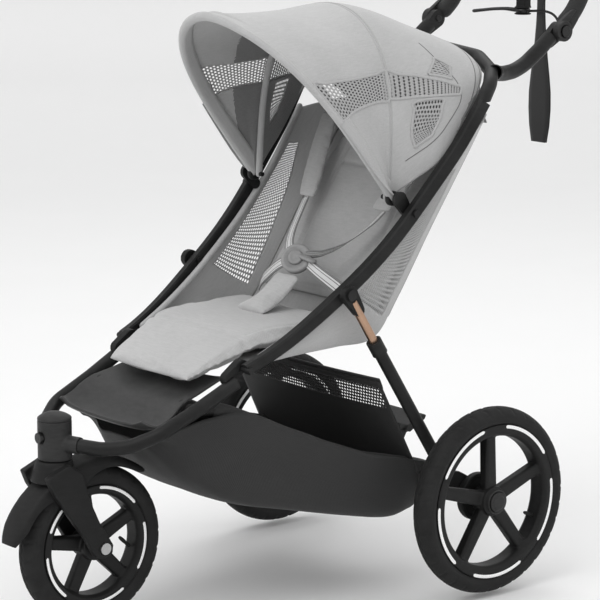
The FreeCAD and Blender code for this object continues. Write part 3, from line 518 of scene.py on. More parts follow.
COPPER = brushed("copper_anodised", grey(150, (1.0, 0.62, 0.42)), grey(200, (1.0, 0.66, 0.47)), 0.32, (700, 40, 40))
REFLECT = reflector()


# ---- CAD nodes that show as they are ----
def dress_nodes():
    finishes = (
        (FRAME_BLACK, "frame_black", ("front_tubes", "side_bars", "top_crossbar", "handle_arms", "fold_pins",
                                      "frame_pins", "leg_tubes")),
        (FRAME_BLACK, "rail_black", ("lower_rails",)),
        (COPPER, "leg_copper", ("leg_inner_tubes",)),
        (STEEL, "steel", ("steerer_pin", "front_axle", "rear_axles", "front_bearings", "rear_bearings_left",
                          "rear_bearings_right")),
        (PLASTIC_GLOSS, "plastic_gloss", ("steering_bushes",)),
        (PLASTIC, "cable_black", ("brake_cable",)),
    )
    for material, slot, nodes in finishes:
        for node in nodes:
            painted(frame["nodes"][node], material)


def mould_hard_parts():
    """Castings and mouldings whose CAD shape is right, with rounded edges."""
    parts = (
        ("head_tube", 1.4, 6, PLASTIC_SOFT, "plastic_black"), ("head_cap", 1.2, 5, PLASTIC_SOFT, "plastic_black"),
        ("fork", 1.5, 14, PLASTIC, "plastic_black"), ("swivel_button", 0.6, 3, PLASTIC_GLOSS, "plastic_gloss"),
        ("fold_brackets", 1.2, 6, PLASTIC, "plastic_black"), ("axle_beam", 1.4, 5, FRAME_BLACK, "frame_black"),
        ("axle_brackets", 1.2, 6, PLASTIC, "plastic_black"), ("brake_drums", 1.2, 4, PLASTIC, "plastic_black"),
        ("brake_pedal", 1.4, 8, PLASTIC_SOFT, "plastic_black"), ("leg_knuckles", 1.0, 6, PLASTIC, "plastic_black"),
        ("grip_pivots", 1.1, 6, PLASTIC_SOFT, "plastic_black"), ("lever_mount", 1.1, 6, PLASTIC, "plastic_black"),
        ("rear_hub_cap_left", 0.8, 4, PLASTIC_SOFT, "plastic_black"),
        ("rear_hub_cap_right", 0.8, 4, PLASTIC_SOFT, "plastic_black"),
        ("handle_button_left", 0.7, 4, PLASTIC_GLOSS, "plastic_gloss"),
        ("handle_button_right", 0.7, 4, PLASTIC_GLOSS, "plastic_gloss"),
    )
    for node, voxel, rounds, material, slot in parts:
        painted(moulded(node, voxel * MM, rounds), material)


# ---- wheels ----
def tyre(node, half, flange, radius, tread_count):
    """Tyre with a bulging sidewall, a moulded ring on it and a grooved tread."""
    centre = centre_of(node)
    wall = radius - flange
    outline = [(-0.74, 0.0), (-0.9, 0.14), (-1.0, 0.42), (-0.94, 0.64), (-0.72, 0.83), (-0.4, 0.955), (0.0, 1.0)]
    outline += [(-a, b) for a, b in reversed(outline[:-1])]
    section = spline([(a * half, flange - 1.0 + b * (wall + 1.0)) for a, b in outline], 56)
    segments = 540
    turn = np.linspace(0.0, 2 * math.pi, segments, endpoint=False)[None, :]
    across = (section[:, 0] / half)[:, None]
    reach = np.repeat(section[:, 1][:, None], segments, axis=1)
    tread = np.clip((reach - flange) / wall, 0.0, 1.0)
    phase = turn * tread_count / (2 * math.pi) + 0.62 * np.abs(across) + 0.1 * np.sin(across * 5)
    slant = np.abs((phase + 0.5 * (across > 0)) % 1.0 - 0.5)
    groove = smooth_step((slant - 0.36) / 0.1) * (tread > 0.62) * (np.abs(across) > 0.2)
    centre_line = np.abs(across - 0.09 * np.sin(turn * tread_count * 2))
    groove = np.maximum(groove, smooth_step((0.075 - centre_line) / 0.05) * (tread > 0.9))
    ring = np.exp(-((tread - 0.34) / 0.03) ** 2) * 0.7
    reach = reach - 1.3 * groove
    x = np.repeat(section[:, 0][:, None], segments, axis=1) + np.sign(across) * ring
    rows = np.stack((np.broadcast_to(x, reach.shape), reach * np.cos(turn), reach * np.sin(turn)), axis=2) * MM
    bead = np.stack((np.full(segments, 0.0), (flange - 5.0) * np.cos(turn[0]),
                     (flange - 5.0) * np.sin(turn[0])), axis=1)[None] * MM
    side = np.array((0.55 * half * MM, 0.0, 0.0))
    rows = np.concatenate((bead - side, rows, bead + side), axis=0)
    obj = grid(node + "_tread", rows + centre, wrap=True)
    return painted(fitted(obj, BODY_OF[node], node), RUBBER)


def arc_strips(name, body, centre, radius, face, first, sign, half_angle=25.0, width=5.6):
    """Reflective strips between the spokes, lying on one face of a rim."""
    strips = []
    for k in range(5):
        middle = math.radians(first + 36 + 72 * k)
        turn = middle + np.radians(np.linspace(-half_angle, half_angle, 40))
        rows = []
        for t in turn:
            end = min(1.0, min(t - turn[0], turn[-1] - t) / 0.025 + 0.35)
            for_edge = []
            for across, lift in ((-0.5, 0.0), (-0.42, 0.35), (0.0, 0.5), (0.42, 0.35), (0.5, 0.0)):
                r = radius + across * width * end
                for_edge.append(centre + np.array((face + sign * lift, r * math.cos(t), r * math.sin(t))) * MM)
            rows.append(for_edge)
        strips.append(grid("strip", rows))
    return painted(fitted(joined(name, strips), body), REFLECT)


def valve(name, body, root, tip):
    line = np.linspace(root, tip, 8)
    radii = np.array((3.6, 3.4, 2.9, 2.9, 3.3, 3.3, 3.3, 2.6)) * MM
    return painted(fitted(tube(name, line, radii, 14), body), PLASTIC)


def wheels():
    for side, sign in SIDES:
        node = "rear_rim_" + side
        painted(moulded(node, 1.7 * MM, 7), RIM_BLACK)
        tyre("rear_tyre_" + side, 21.0, 131.5, 159.0, 34)
        centre = centre_of("rear_tyre_" + side)
        for face, facing in ((19.4 * sign, sign), (-19.4 * sign, -sign)):
            label = "rear_reflectors_" + side + ("_outer" if facing == sign else "_inner")
            arc_strips(label, "rear_wheel_" + side, centre, 127.6, face, 20, facing)
        turn = math.radians(-24)
        out = np.array((0.0, math.cos(turn), math.sin(turn)))
        valve("rear_valve_" + side, "rear_wheel_" + side, centre + out * 112 * MM, centre + out * 92 * MM)
        ring = [(20.6, 20.5), (22.4, 20.5), (23.0, 19.0), (21.8, 17.4), (20.6, 17.4)]
        trim = lathe("rear_hub_ring_" + side, [(sign * a, r) for a, r in ring], centre, segments=72, closed=True)
        painted(fitted(trim, "rear_wheel_" + side), PLASTIC_SOFT)
    painted(moulded("front_rim", 1.6 * MM, 7), RIM_BLACK)
    tyre("front_tyre", 22.5, 100.0, 131.0, 28)
    centre = centre_of("front_tyre")
    for label, sign in SIDES:
        arc_strips("front_reflectors_" + label, "front_wheel", centre, 95.6, sign * 20.8, 26, sign, 24.0, 4.8)
    root, tip = at(0, -360, 113), at(6, -381, 131)
    valve("front_valve", "front_wheel", root, tip)


# ---- fender and footrest ----
def fender():
    """Guard over the front tyre with deep skirts beside the fork and a flared nose and tail."""
    centre = centre_of("front_tyre")
    rows = []
    for angle in np.linspace(48, 171, 70):
        reach = 145.5 + 0.34 * max(0.0, angle - 132) + 0.10 * max(0.0, 66 - angle)
        near_fork = math.exp(-((angle - 112) / 22.0) ** 2)
        skirt = 12.0 + 26.0 * near_fork
        ends = min(1.0, (angle - 47) / 9.0, (172.5 - angle) / 12.0)
        half = 27.2 * (0.35 + 0.65 * math.sqrt(max(0.0, ends)))
        out = np.array((0.0, math.cos(math.radians(angle)), math.sin(math.radians(angle))))
        section = [(-1.0, skirt), (-1.0, 0.55 * skirt), (-0.97, 6.0), (-0.86, 2.4), (-0.5, 0.6), (0.0, 0.0)]
        section += [(-a, d) for a, d in reversed(section[:-1])]
        line = spline([(a * half, reach - d * (0.3 + 0.7 * ends)) for a, d in section], 33)
        rows.append([centre + np.array((x, 0, 0)) * MM + out * r * MM for x, r in line])
    obj = grid("front_fender_guard", rows)
    obj = applied(obj, ("SOLIDIFY", {"thickness": 2.2 * MM, "offset": -1.0}),
                  ("BEVEL", {"width": 0.8 * MM, "segments": 2, "limit_method": "ANGLE"}))
    return painted(fitted(obj, "fork", "front_fender"), PLASTIC)


def footrest():
    """Moulded foot panel: a shallow dish between the tubes, with an upturned front lip."""
    profile = spline([(-246, 394), (-274, 386), (-304, 377), (-344, 365), (-376, 343), (-392, 335),
                      (-402, 335), (-410, 341)], 44)
    rows = []
    for k, (y, z) in enumerate(profile):
        share = k / (len(profile) - 1)
        half = np.interp(y, [-410, -404, -396, -380, -360, -340, -246], [112, 128, 134, 136, 134, 128, 112])
        row = []
        for a in np.linspace(-1, 1, 49):
            bow = -9.0 * smooth_step((y + 330) / -80.0) * (1 - a * a)
            dish = 4.5 * (abs(a) ** 4) - 2.2 * (1 - a * a)
            tip = 5.0 * max(0.0, abs(a) - 0.8) / 0.2 * smooth_step((share - 0.7) / 0.3)
            row.append(at(a * half, y + bow * 0.55, z + dish + tip))
        rows.append(row)
    obj = grid("footrest_moulding", rows)
    obj = applied(obj, ("SOLIDIFY", {"thickness": 4.6 * MM, "offset": 0.0}),
                  ("BEVEL", {"width": 1.6 * MM, "segments": 3, "limit_method": "ANGLE"}))
    painted(fitted(obj, "front_frame", "footrest_panel"), PLASTIC_PANEL)


# ---- canopy ----
HOOP_COUNT = 161
PIVOT_Y, PIVOT_Z = 46.0, 670.0
FRONT_HOOP = ((184, 46, 670), (-192, 968), 3.7, 0.59)
MID_HOOP = ((170, 46, 670), (62, 970), 3.6, 0.5)
REAR_HOOPS = (((212, 122, 726), (176, 944), 3.5, 0.46), ((216, 158, 772), (253, 913), 3.3, 0.43),
              ((212, 176, 810), (276, 892), 2.9, 0.4))
HOOP_STATIONS = np.array((0.0, 1 / 3, 2 / 3, 1.0, 1.35, 1.7, 2.35, 3.0))
PAINTED_SHADE_STARTS = 0.62          # station on top where the inner side turns from pale to the darker painted shade
JOIN = 1.0                    # station of the middle hoop, where the two canopy pieces meet


def lifted(line, amount):
    return line + unit(line - at(0, PIVOT_Y, PIVOT_Z)) * amount * MM


def swelled(line, factor):
    pivot = at(0, PIVOT_Y, PIVOT_Z)
    stretch = np.concatenate((np.ones_like(factor * line[:, :1]), factor + 0 * line[:, :2]), axis=1)
    return pivot + (line - pivot) * stretch


def canopy_rows():
    front, middle = arch(*FRONT_HOOP, HOOP_COUNT), arch(*MID_HOOP, HOOP_COUNT)
    rear = [arch(*hoop, HOOP_COUNT) for hoop in REAR_HOOPS]
    rows = [lifted(front, 7.0)]
    for share, push in ((1 / 3, 1.055), (2 / 3, 1.045)):
        crest = np.sin(np.linspace(0.0, math.pi, HOOP_COUNT)) ** 4
        swell = (push - (push - 0.985) * crest)[:, None]
        rows.append(lifted(swelled(front + (middle - front) * share, swell), 5.0))
    rows.append(lifted(middle, 7.0))
    rows.append(lifted(swelled(middle + (rear[0] - middle) * 0.5, 1.012), 6.0))
    return np.array(rows + rear)


CANOPY_ROWS = canopy_rows()


def canopy(u, v, lift=0.0):
    """Points of the canopy's outer face.  u runs from the front hoop, 0, by the middle one, 1, to the
    crossbar, 3; v from the left foot, 0, over the top to the right foot, 1.  lift is in mm."""
    u, v = np.broadcast_arrays(np.asarray(u, float), np.asarray(v, float))
    shape, u, v = u.shape, u.ravel(), v.ravel()
    k = np.clip(np.searchsorted(HOOP_STATIONS, u) - 1, 0, len(HOOP_STATIONS) - 2)
    low, high = np.maximum(k - 1, 0), np.minimum(k + 2, len(HOOP_STATIONS) - 1)
    place = np.clip(v, 0, 1) * (HOOP_COUNT - 1)
    j = np.clip(place.astype(int), 0, HOOP_COUNT - 2)
    share = (place - j)[:, None]

    def row(index):
        return CANOPY_ROWS[index, j] * (1 - share) + CANOPY_ROWS[index, j + 1] * share

    a, b = row(k), row(k + 1)
    step = (HOOP_STATIONS[k + 1] - HOOP_STATIONS[k])[:, None]
    slope_a = (b - row(low)) / (HOOP_STATIONS[k + 1] - HOOP_STATIONS[low])[:, None] * step
    slope_b = (row(high) - a) / (HOOP_STATIONS[high] - HOOP_STATIONS[k])[:, None] * step
    t = ((u - HOOP_STATIONS[k]) / step[:, 0])[:, None]
    points = ((2 * t ** 3 - 3 * t ** 2 + 1) * a + (t ** 3 - 2 * t ** 2 + t) * slope_a
              + (3 * t ** 2 - 2 * t ** 3) * b + (t ** 3 - t ** 2) * slope_b)
    if lift:
        points = points + surface_normals(canopy, u, v, at(0, PIVOT_Y, PIVOT_Z)) * lift * MM
    return points.reshape(shape + (3,))


def surface_normals(surface, u, v, inside):
    """unit normals of a two-way surface, pointing away from the point inside"""
    e = 0.004
    du = surface(u + e, v) - surface(u - e, v)
    dv = surface(u, np.clip(v + e, 0, 1)) - surface(u, np.clip(v - e, 0, 1))
    n = unit(np.cross(du, dv))
    outward = np.sign(np.sum(n * (surface(u, v) - inside), axis=-1, keepdims=True))
    return n * np.where(outward == 0, 1.0, outward)


def cut_sheet(name, surface, u_range, v_range, counts, windows, scale):
    """A sheet over a two-way surface with openings.  Each window is a closed outline of (u, v)."""
    us, vs = np.linspace(*u_range, counts[0]), np.linspace(*v_range, counts[1])
    flat = [(u, v) for u in us for v in vs]
    edges = []
    for outline in windows:
        first = len(flat)
        flat += [tuple(p) for p in outline]
        edges += [(first + k, first + (k + 1) % len(outline)) for k in range(len(outline))]
    placed = [Vector((u * scale[0], v * scale[1])) for u, v in flat]
    made = geometry.delaunay_2d_cdt(placed, edges, [], 0, 1e-5)
    uv = np.array([(p.x / scale[0], p.y / scale[1]) for p in made[0]])
    middles = np.array([uv[list(face)].mean(axis=0) for face in made[2]])
    open_ = np.zeros(len(middles), bool)
    for outline in windows:
        open_ |= inside_outline(middles, outline)
    faces = [tuple(face) for face, gone in zip(made[2], open_) if not gone]
    points = surface(uv[:, 0], uv[:, 1])
    used = sorted({k for f in faces for k in f})
    index = {k: n for n, k in enumerate(used)}
    faces = [tuple(index[k] for k in f) for f in faces]
    uvs = [(uv[used[k], 0] * scale[0], uv[used[k], 1] * scale[1]) for f in faces for k in f]
    return new_object(name, points[used], faces, uvs), uv[used]


def inside_outline(points, outline):
    """which of the points lie inside a closed outline"""
    inside = np.zeros(len(points), bool)
    x, y = points[:, 0], points[:, 1]
    for (x0, y0), (x1, y1) in zip(outline, np.roll(outline, -1, axis=0)):
        if y0 != y1:
            inside ^= ((y0 > y) != (y1 > y)) & (x < (x1 - x0) * (y - y0) / (y1 - y0) + x0)
    return inside


def patch(left, right, count):
    """A closed outline from two edges that run the same way."""
    a, b = spline(left, count), spline(right, count)
    ends = max(2, count // 3)
    top = a[-1] + (b[-1] - a[-1]) * np.linspace(0, 1, ends)[:, None]
    low = b[0] + (a[0] - b[0]) * np.linspace(0, 1, ends)[:, None]
    return np.vstack((a, top[1:-1], b[::-1], low[1:-1]))


def net(name, surface, left, right, cells, hole=(0.62, 0.62), thick=0.5):
    """Open mesh fabric between two edges given in (u, v): rows of round holes, each row half a
    cell along from the last."""
    across, down = cells
    a, b = spline(left, down + 1), spline(right, down + 1)
    circle = np.array([(math.cos(t), math.sin(t)) for t in np.radians(np.arange(-135, 225, 45))])
    square = np.array([(-1, -1), (0, -1), (1, -1), (1, 0), (1, 1), (0, 1), (-1, 1), (-1, 0)]) * 0.5
    verts, faces, index = [], [], {}

    def corner(i, j):
        key = (round(i * 2), round(j * 2))
        if key not in index:
            index[key] = len(verts)
            verts.append((i, j))
        return index[key]

    for j in range(down):
        offset = 0.5 * (j % 2)
        for i in range(-1, across + 1):
            x = i + 0.5 + offset
            if x < 0 or x > across:
                continue
            outer = []
            for sx, sy in square:
                outer.append(corner(min(max(x + sx, 0.0), across), j + 0.5 + sy))
            cut = x - 0.5 < 0 or x + 0.5 > across
            if cut:
                ring = [k for n, k in enumerate(outer) if k not in outer[:n]]
                faces.append(tuple(ring))
                continue
            first = len(verts)
            for cx, cy in circle:
                verts.append((x + cx * 0.5 * hole[0], j + 0.5 + cy * 0.5 * hole[1]))
            for n in range(8):
                m = (n + 1) % 8
                faces.append((outer[n], outer[m], first + m, first + n))
    verts = np.array(verts)
    rows = verts[:, 1] / down * (len(a) - 1)
    k = np.clip(rows.astype(int), 0, len(a) - 2)
    f = (rows - k)[:, None]
    start, end = a[k] * (1 - f) + a[k + 1] * f, b[k] * (1 - f) + b[k + 1] * f
    uv = start + (end - start) * (verts[:, :1] / across)
    points = surface(uv[:, 0], uv[:, 1])
    uvs = [tuple(verts[n] * 0.006) for face in faces for n in face]
    obj = new_object(name, points, faces, uvs)
    applied(obj, ("SOLIDIFY", {"thickness": thick * MM, "offset": 0.0}))
    return obj, uv


def band_on(name, surface, inside, path, width, height, lift=0.3, closed=False, count=None):
    """A raised tape or cord that follows a path of (u, v) on a surface; sizes in mm."""
    line = np.vstack((path, path[:1])) if closed else np.asarray(path, float)
    uv = spline(line, count or max(8, len(line) * 6))
    points = surface(uv[:, 0], uv[:, 1])
    up = surface_normals(surface, uv[:, 0], uv[:, 1], inside)
    ahead = headings(points)
    side = unit(np.cross(ahead, up))
    section = ((-0.5, -0.2), (-0.48, 0.55), (-0.25, 1.0), (0.25, 1.0), (0.48, 0.55), (0.5, -0.2))
    rows = [[p + s * a * width * MM + n * (lift + b * height) * MM for a, b in section]
            for p, s, n in zip(points, side, up)]
    return grid(name, rows, across=[a for a, b in section]), uv


MAIN_WINDOW = (((0.03, 0.176), (0.5, 0.188), (1.0, 0.2)), ((0.03, 0.258), (0.5, 0.247), (1.0, 0.256)))
STRIPED_WINDOW = (((1.0, 0.2), (1.45, 0.168), (1.95, 0.141)), ((1.0, 0.256), (1.48, 0.206), (1.96, 0.158)))
STRIP_WINDOW = (((1.3, 0.072), (1.25, 0.11), (1.28, 0.168)), ((1.5, 0.078), (1.6, 0.11), (1.62, 0.15)))
VENT_WINDOW = (((1.47, 0.216), (1.6, 0.25)), ((1.77, 0.19), (1.8, 0.222)))


def flipped(edge):
    return tuple((u, 1.0 - v) for u, v in edge)


def sides_of(window):
    """the same window on the left and, mirrored, on the right"""
    return (("left", window), ("right", tuple(flipped(edge) for edge in window)))


def bend_front(obj, u):
    return bend(obj)


def bend_rear(obj, u):
    return bend(obj)


def shares_of(obj, uv, per_row=None):
    """the u of each vertex of an object made row by row, or vertex by vertex"""
    u = uv[:, 0]
    if per_row:
        u = np.repeat(u, per_row)
    count = len(obj.data.vertices)
    return np.resize(u, count)


def canopy_cover():
    inside = at(0, PIVOT_Y, PIVOT_Z)
    front_windows, rear_windows = [], []
    for side, window in sides_of(MAIN_WINDOW):
        front_windows.append(patch(*window, 40))
    for each in (STRIPED_WINDOW, STRIP_WINDOW, VENT_WINDOW):
        for side, window in sides_of(each):
            rear_windows.append(patch(*window, 24))
    scale = (0.25, 1.0)
    front, uv = cut_sheet("canopy_front_fabric", canopy, (0.0, JOIN), (0.0, 1.0), (44, 190), front_windows, scale)
    finish_canopy(front, uv, bend_front, "canopy_front_panel")
    rear, uv = cut_sheet("canopy_rear_fabric", canopy, (JOIN, 3.0), (0.0, 1.0), (64, 190), rear_windows, scale)
    finish_canopy(rear, uv, bend_rear, "canopy_mid_panel", "canopy_rear_panel")
    nets = (("canopy_net_", MAIN_WINDOW, (9, 22), (0.66, 0.7), bend_front),
            ("canopy_striped_net_", STRIPED_WINDOW, (7, 18), (0.86, 0.42), bend_rear),
            ("canopy_side_net_", STRIP_WINDOW, (9, 13), (0.66, 0.7), bend_rear),
            ("canopy_vent_", VENT_WINDOW, (5, 7), (0.8, 0.4), bend_rear))
    for label, both, cells, hole, bender in nets:
        for side, window in sides_of(both):
            made, uv = net(label + side, canopy, *window, cells, hole)
            painted(made, NET_GREY)
            bender(made, shares_of(made, uv))
            edge, uv = band_on(label + "binding_" + side, canopy, inside, patch(*window, 8), 4.5, 1.3, closed=True,
                               count=150)
            painted(edge, PIPING)
            bender(edge, shares_of(edge, uv, 6))


def canopy_back():
    """Lining that closes the space between the rear canopy and the top of the backrest; its dark grey is painted
    shade.
    """
    rows = []
    for share in np.linspace(0.0, 1.0, 24):
        row = []
        for a in np.linspace(-1, 1, 49):
            top = canopy(2.9, 0.5 - 0.42 * a, -3.0)
            low = side_panel(1.0, 1.0) * np.array((a, 1.0, 1.0)) + at(0, 4 - ORIGIN_Y, -14)
            slack = math.sin(math.pi * share) * (1 - a * a) * 9.0 * MM
            row.append(top + (low - top) * share + np.array((0.0, 1.0, -0.3)) * slack)
        rows.append(row)
    back = grid("canopy_back_lining", rows)
    bend(back)
    # its dark grey is painted shade
    back.data.materials.append(FABRIC_PAINTED_SHADE)
    back.modifiers.new("thickness", "SOLIDIFY").thickness = 1.2 * MM


def finish_canopy(obj, uv, bender, *nodes):
    """two layers: fabric outside, and inside a darker grey, painted shade under the canopy, that starts behind the
    pale visor
    """
    bender(obj, uv[:, 0])
    for material in (FABRIC, FABRIC_PAINTED_SHADE, FABRIC, FABRIC_SIDE):
        obj.data.materials.append(material)
    # visor faces keep a pale inside; the rest get the darker painted shade inside
    for face in obj.data.polygons:
        u, v = uv[list(face.vertices)].mean(axis=0)
        if u < PAINTED_SHADE_STARTS - 0.45 * abs(2 * v - 1) ** 3:
            face.material_index = 2
    thick = obj.modifiers.new("thickness", "SOLIDIFY")
    thick.thickness = 1.4 * MM
    thick.offset = -1.0 if outward(obj, at(0, PIVOT_Y, PIVOT_Z)) else 1.0
    thick.material_offset = 1
    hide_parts(*nodes)


def outward(obj, inside):
    """True if most faces point away from the point inside"""
    total = 0.0
    for p in obj.data.polygons:
        total += p.area * (p.center - Vector(inside)).normalized().dot(p.normal)
    return total > 0


def canopy_trim():
    """Front hem round its hoop, fabric sleeves on the inner hoops, seams and corner tabs."""
    inside = at(0, PIVOT_Y, PIVOT_Z)
    rim = arch(*FRONT_HOOP, 150)
    out = unit(rim - inside)
    ahead = headings(rim)
    forward = unit(np.cross(ahead, out))
    if forward[75][1] > 0:
        forward = -forward
    rows = []
    for p, o, f in zip(rim, out, forward):
        loop = [p + (o * math.cos(t) * 8.2 + f * math.sin(t) * 7.0) * MM
                for t in np.radians((-25, 0, 25, 50, 75, 100, 125, 150, 172))]
        tail = [p + (o * -7.6 - f * reach) * MM for reach in (6.0, 12.0, 19.0)]
        back = [p + (o * -6.2 - f * reach) * MM for reach in (19.0, 12.0, 6.0, 0.0)]
        rows.append(loop + tail + back)
    hem = grid("canopy_front_hem", rows, wrap=True, capped=True)
    painted(fitted(hem, "canopy_front", "canopy_front_bow"), FABRIC)
    sleeve = tube("canopy_middle_sleeve", arch(*MID_HOOP, 130), 6.2 * MM, 14, flatten=0.8)
    painted(fitted(sleeve, "canopy_mid", "canopy_mid_bow"), FABRIC)
    for label, u_line, bender in (("front", 0.018, bend_front), ("middle_a", 0.985, bend_front),
                                  ("middle_b", 1.02, bend_rear), ("rear_a", 2.35, None), ("rear_b", 2.72, None)):
        path = [(u_line, v) for v in np.linspace(0.004, 0.996, 60)]
        seam, uv = band_on("canopy_seam_" + label, canopy, inside, path, 1.8, 0.55, lift=0.0, count=260)
        painted(seam, PIPING_DARK if label.startswith("rear") else PIPING)
        if bender:
            bender(seam, shares_of(seam, uv, 6))
        else:
            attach(seam, "upper_frame")
    for side, sign in SIDES:
        path = [(0.055, 0.176), (0.07, 0.12), (0.1, 0.06), (0.2, 0.012)]
        tab, uv = band_on("canopy_tab_" + side, canopy, inside, path if sign > 0 else flipped(path), 24, 1.2, count=50)
        painted(tab, FABRIC)
        bend_front(tab, shares_of(tab, uv, 6))
        path = [(1.2, 0.055), (1.5, 0.06), (1.75, 0.082), (1.98, 0.12), (1.9, 0.17), (1.65, 0.235), (1.5, 0.3)]
        path = path if sign > 0 else flipped(path)
        seam, uv = band_on("canopy_side_seam_" + side, canopy, inside, path, 1.6, 0.5, lift=0.0, count=120)
        painted(seam, PIPING_DARK)
        bend_rear(seam, shares_of(seam, uv, 6))
        boss = [(-4.5, 4.5), (-4.5, 10.0), (-3.0, 12.5), (3.0, 12.5), (4.5, 10.0), (4.5, 4.5)]
        hub = lathe("canopy_hub_" + side, [(a, r) for a, r in boss], at(sign * 184, PIVOT_Y, PIVOT_Z), closed=True)
        painted(fitted(hub, "canopy_front"), PLASTIC)


# ---- seat ----
def puff(pads):
    """Inflates every pad at once with cloth, each no further than its own cap."""
    scene = bpy.context.scene
    for obj, cap, pressure in pads:
        applied(obj, ("REMESH", {"mode": "VOXEL", "voxel_size": 0.005}), ("SMOOTH", {"factor": 0.5, "iterations": 3}))
    starts = []
    for obj, cap, pressure in pads:
        starts.append(np.array([v.co for v in obj.data.vertices]))
        soft = obj.modifiers.new("cloth", "CLOTH")
        s = soft.settings
        s.quality = 4
        s.mass = 0.25
        s.tension_stiffness = s.compression_stiffness = 12
        s.shear_stiffness = 5
        s.bending_stiffness = 0.4
        s.use_pressure = True
        s.uniform_pressure_force = pressure
        s.effector_weights.gravity = 0.0
        soft.collision_settings.use_collision = False
        soft.point_cache.frame_start, soft.point_cache.frame_end = 1, 20
    for number in range(1, 21):
        scene.frame_set(number)
    graph = bpy.context.evaluated_depsgraph_get()
    for (obj, cap, pressure), start in zip(pads, starts):
        swollen = np.array([v.co for v in obj.evaluated_get(graph).data.vertices])
        move = swollen - start
        far = np.linalg.norm(move, axis=1, keepdims=True)
        move *= np.minimum(1.0, cap * MM / np.maximum(far, 1e-9))
        obj.modifiers.clear()
        obj.data.vertices.foreach_set("co", (start + move).astype(np.float32).ravel())
    scene.frame_set(1)
    for obj, cap, pressure in pads:
        applied(obj, ("SUBSURF", {"levels": 1}))


def slab(name, stations, side_round=0.28, count=40):
    """A closed pad lofted through stations of (y, z, thickness, half width, lean), where lean
    is the pad's slope in degrees."""
    data = spline([s for s in stations], 34)
    rows = []
    for y, z, thick, half, lean in data:
        up = np.array((0.0, -math.sin(math.radians(lean)), math.cos(math.radians(lean))))
        row = []
        for t in np.linspace(0, 2 * math.pi, count, endpoint=False):
            c, s = math.cos(t), math.sin(t)
            x = half * math.copysign(abs(c) ** side_round, c)
            h = 0.5 * thick * math.copysign(abs(s) ** 0.7, s)
            row.append(at(x, y, z) + up * h * MM)
        rows.append(row)
    return grid(name, rows, wrap=True, capped=True)


def press_line(obj, near, depth, width):
    """Sinks a sewn channel into a pad: near gives each point's distance from the seam in mm."""
    co = np.array([v.co for v in obj.data.vertices])
    normal = np.array([v.normal for v in obj.data.vertices])
    local = np.stack((co[:, 0] / MM, co[:, 1] / MM - ORIGIN_Y, co[:, 2] / MM), axis=1)
    away, facing = near(local, normal)
    sink = depth * np.exp(-(away / width) ** 2) * facing
    co -= normal * sink[:, None] * MM
    obj.data.vertices.foreach_set("co", co.astype(np.float32).ravel())


def seat_pads():
    cushion = slab("seat_cushion", [(6, 453, 15, 163, 2), (-40, 453, 17, 163, 0), (-100, 454, 17, 160, 0),
                                    (-160, 454, 17, 154, 0), (-205, 449, 15, 148, -6), (-240, 434, 12, 140, 20),
                                    (-270, 420, 10, 130, 25), (-300, 406, 9, 121, 28), (-324, 394, 8, 110, 30)])
    pad = slab("backrest_cushion", [(38, 474, 12, 158, 56), (75, 527, 14, 160, 56), (120, 592, 14, 160, 56),
                                    (165, 658, 14, 158, 56), (205, 716, 14, 150, 56), (236, 764, 12, 138, 56)])
    shoulders = []
    for side, sign in SIDES:
        line = [(94, 634, 9, 22, 56), (118, 668, 11, 26, 56), (150, 716, 11, 25, 56), (186, 768, 9, 21, 56)]
        strip = slab("shoulder_pad_" + side, line, 0.5, 24)
        lean = np.array([v.co for v in strip.data.vertices])
        lean[:, 0] += sign * (96 + 0.52 * (lean[:, 1] / MM - ORIGIN_Y - 90)) * MM
        strip.data.vertices.foreach_set("co", lean.astype(np.float32).ravel())
        shoulders.append((strip, 4, 3.0))
    crotch = slab("crotch_pad", [(-24, 524, 10, 30, 40), (-42, 509, 12, 33, 38), (-64, 493, 13, 34, 32),
                                 (-86, 482, 13, 36, 18), (-108, 474, 11, 37, 12)], 0.45, 26)
    puff([(cushion, 9, 4.0), (pad, 8, 4.0), (crotch, 4, 3.0)] + shoulders)

    press_line(cushion, lambda p, n: (np.abs(p[:, 1] + 212 + 0.0003 * p[:, 0] ** 2), n[:, 2] > 0.2), 3.2, 5.0)
    press_line(cushion, lambda p, n: (np.abs(np.abs(p[:, 0]) - 126 - 0.08 * (p[:, 1] + 100)),
                                      (n[:, 2] > 0.3) & (p[:, 1] > -208)), 2.0, 4.0)
    press_line(pad, lambda p, n: (np.abs(np.abs(p[:, 0]) - 96), n[:, 1] < -0.3), 3.5, 5.0)
    press_line(pad, lambda p, n: (np.abs(p[:, 2] - 690), (n[:, 1] < -0.3) & (np.abs(p[:, 0]) < 96)), 2.5, 4.5)
    painted(fitted(cushion, "upper_frame", "seat_pan", "calf_rest"), FABRIC_SEAT)
    painted(fitted(pad, "backrest", "backrest_pad"), FABRIC_SEAT)
    painted(fitted(crotch, "upper_frame"), FABRIC_SEAT)
    for strip, cap, pressure in shoulders:
        painted(fitted(strip, "backrest"), FABRIC_SEAT)
    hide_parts("shoulder_pads")


def bar_x(y):
    """the side bar's centre line, which splays to the rear"""
    return 207.7 + 0.1549 * y


BAR_EDGE = ((-212, 432), (-156, 461), (-95, 499), (-34, 544), (29, 596), (89, 656), (137, 714), (178, 770))
TUB_EDGE = ((-215, 424), (-140, 430), (-60, 434), (16, 440), (66, 500), (140, 612), (212, 716), (262, 790))
BAR_LINE = spline([at(bar_x(y) - 11, y, z) for y, z in BAR_EDGE], 161)
TUB_LINE = spline([at(160 + 13 * min(k, 3) / 3, y, z) for k, (y, z) in enumerate(TUB_EDGE)], 161)


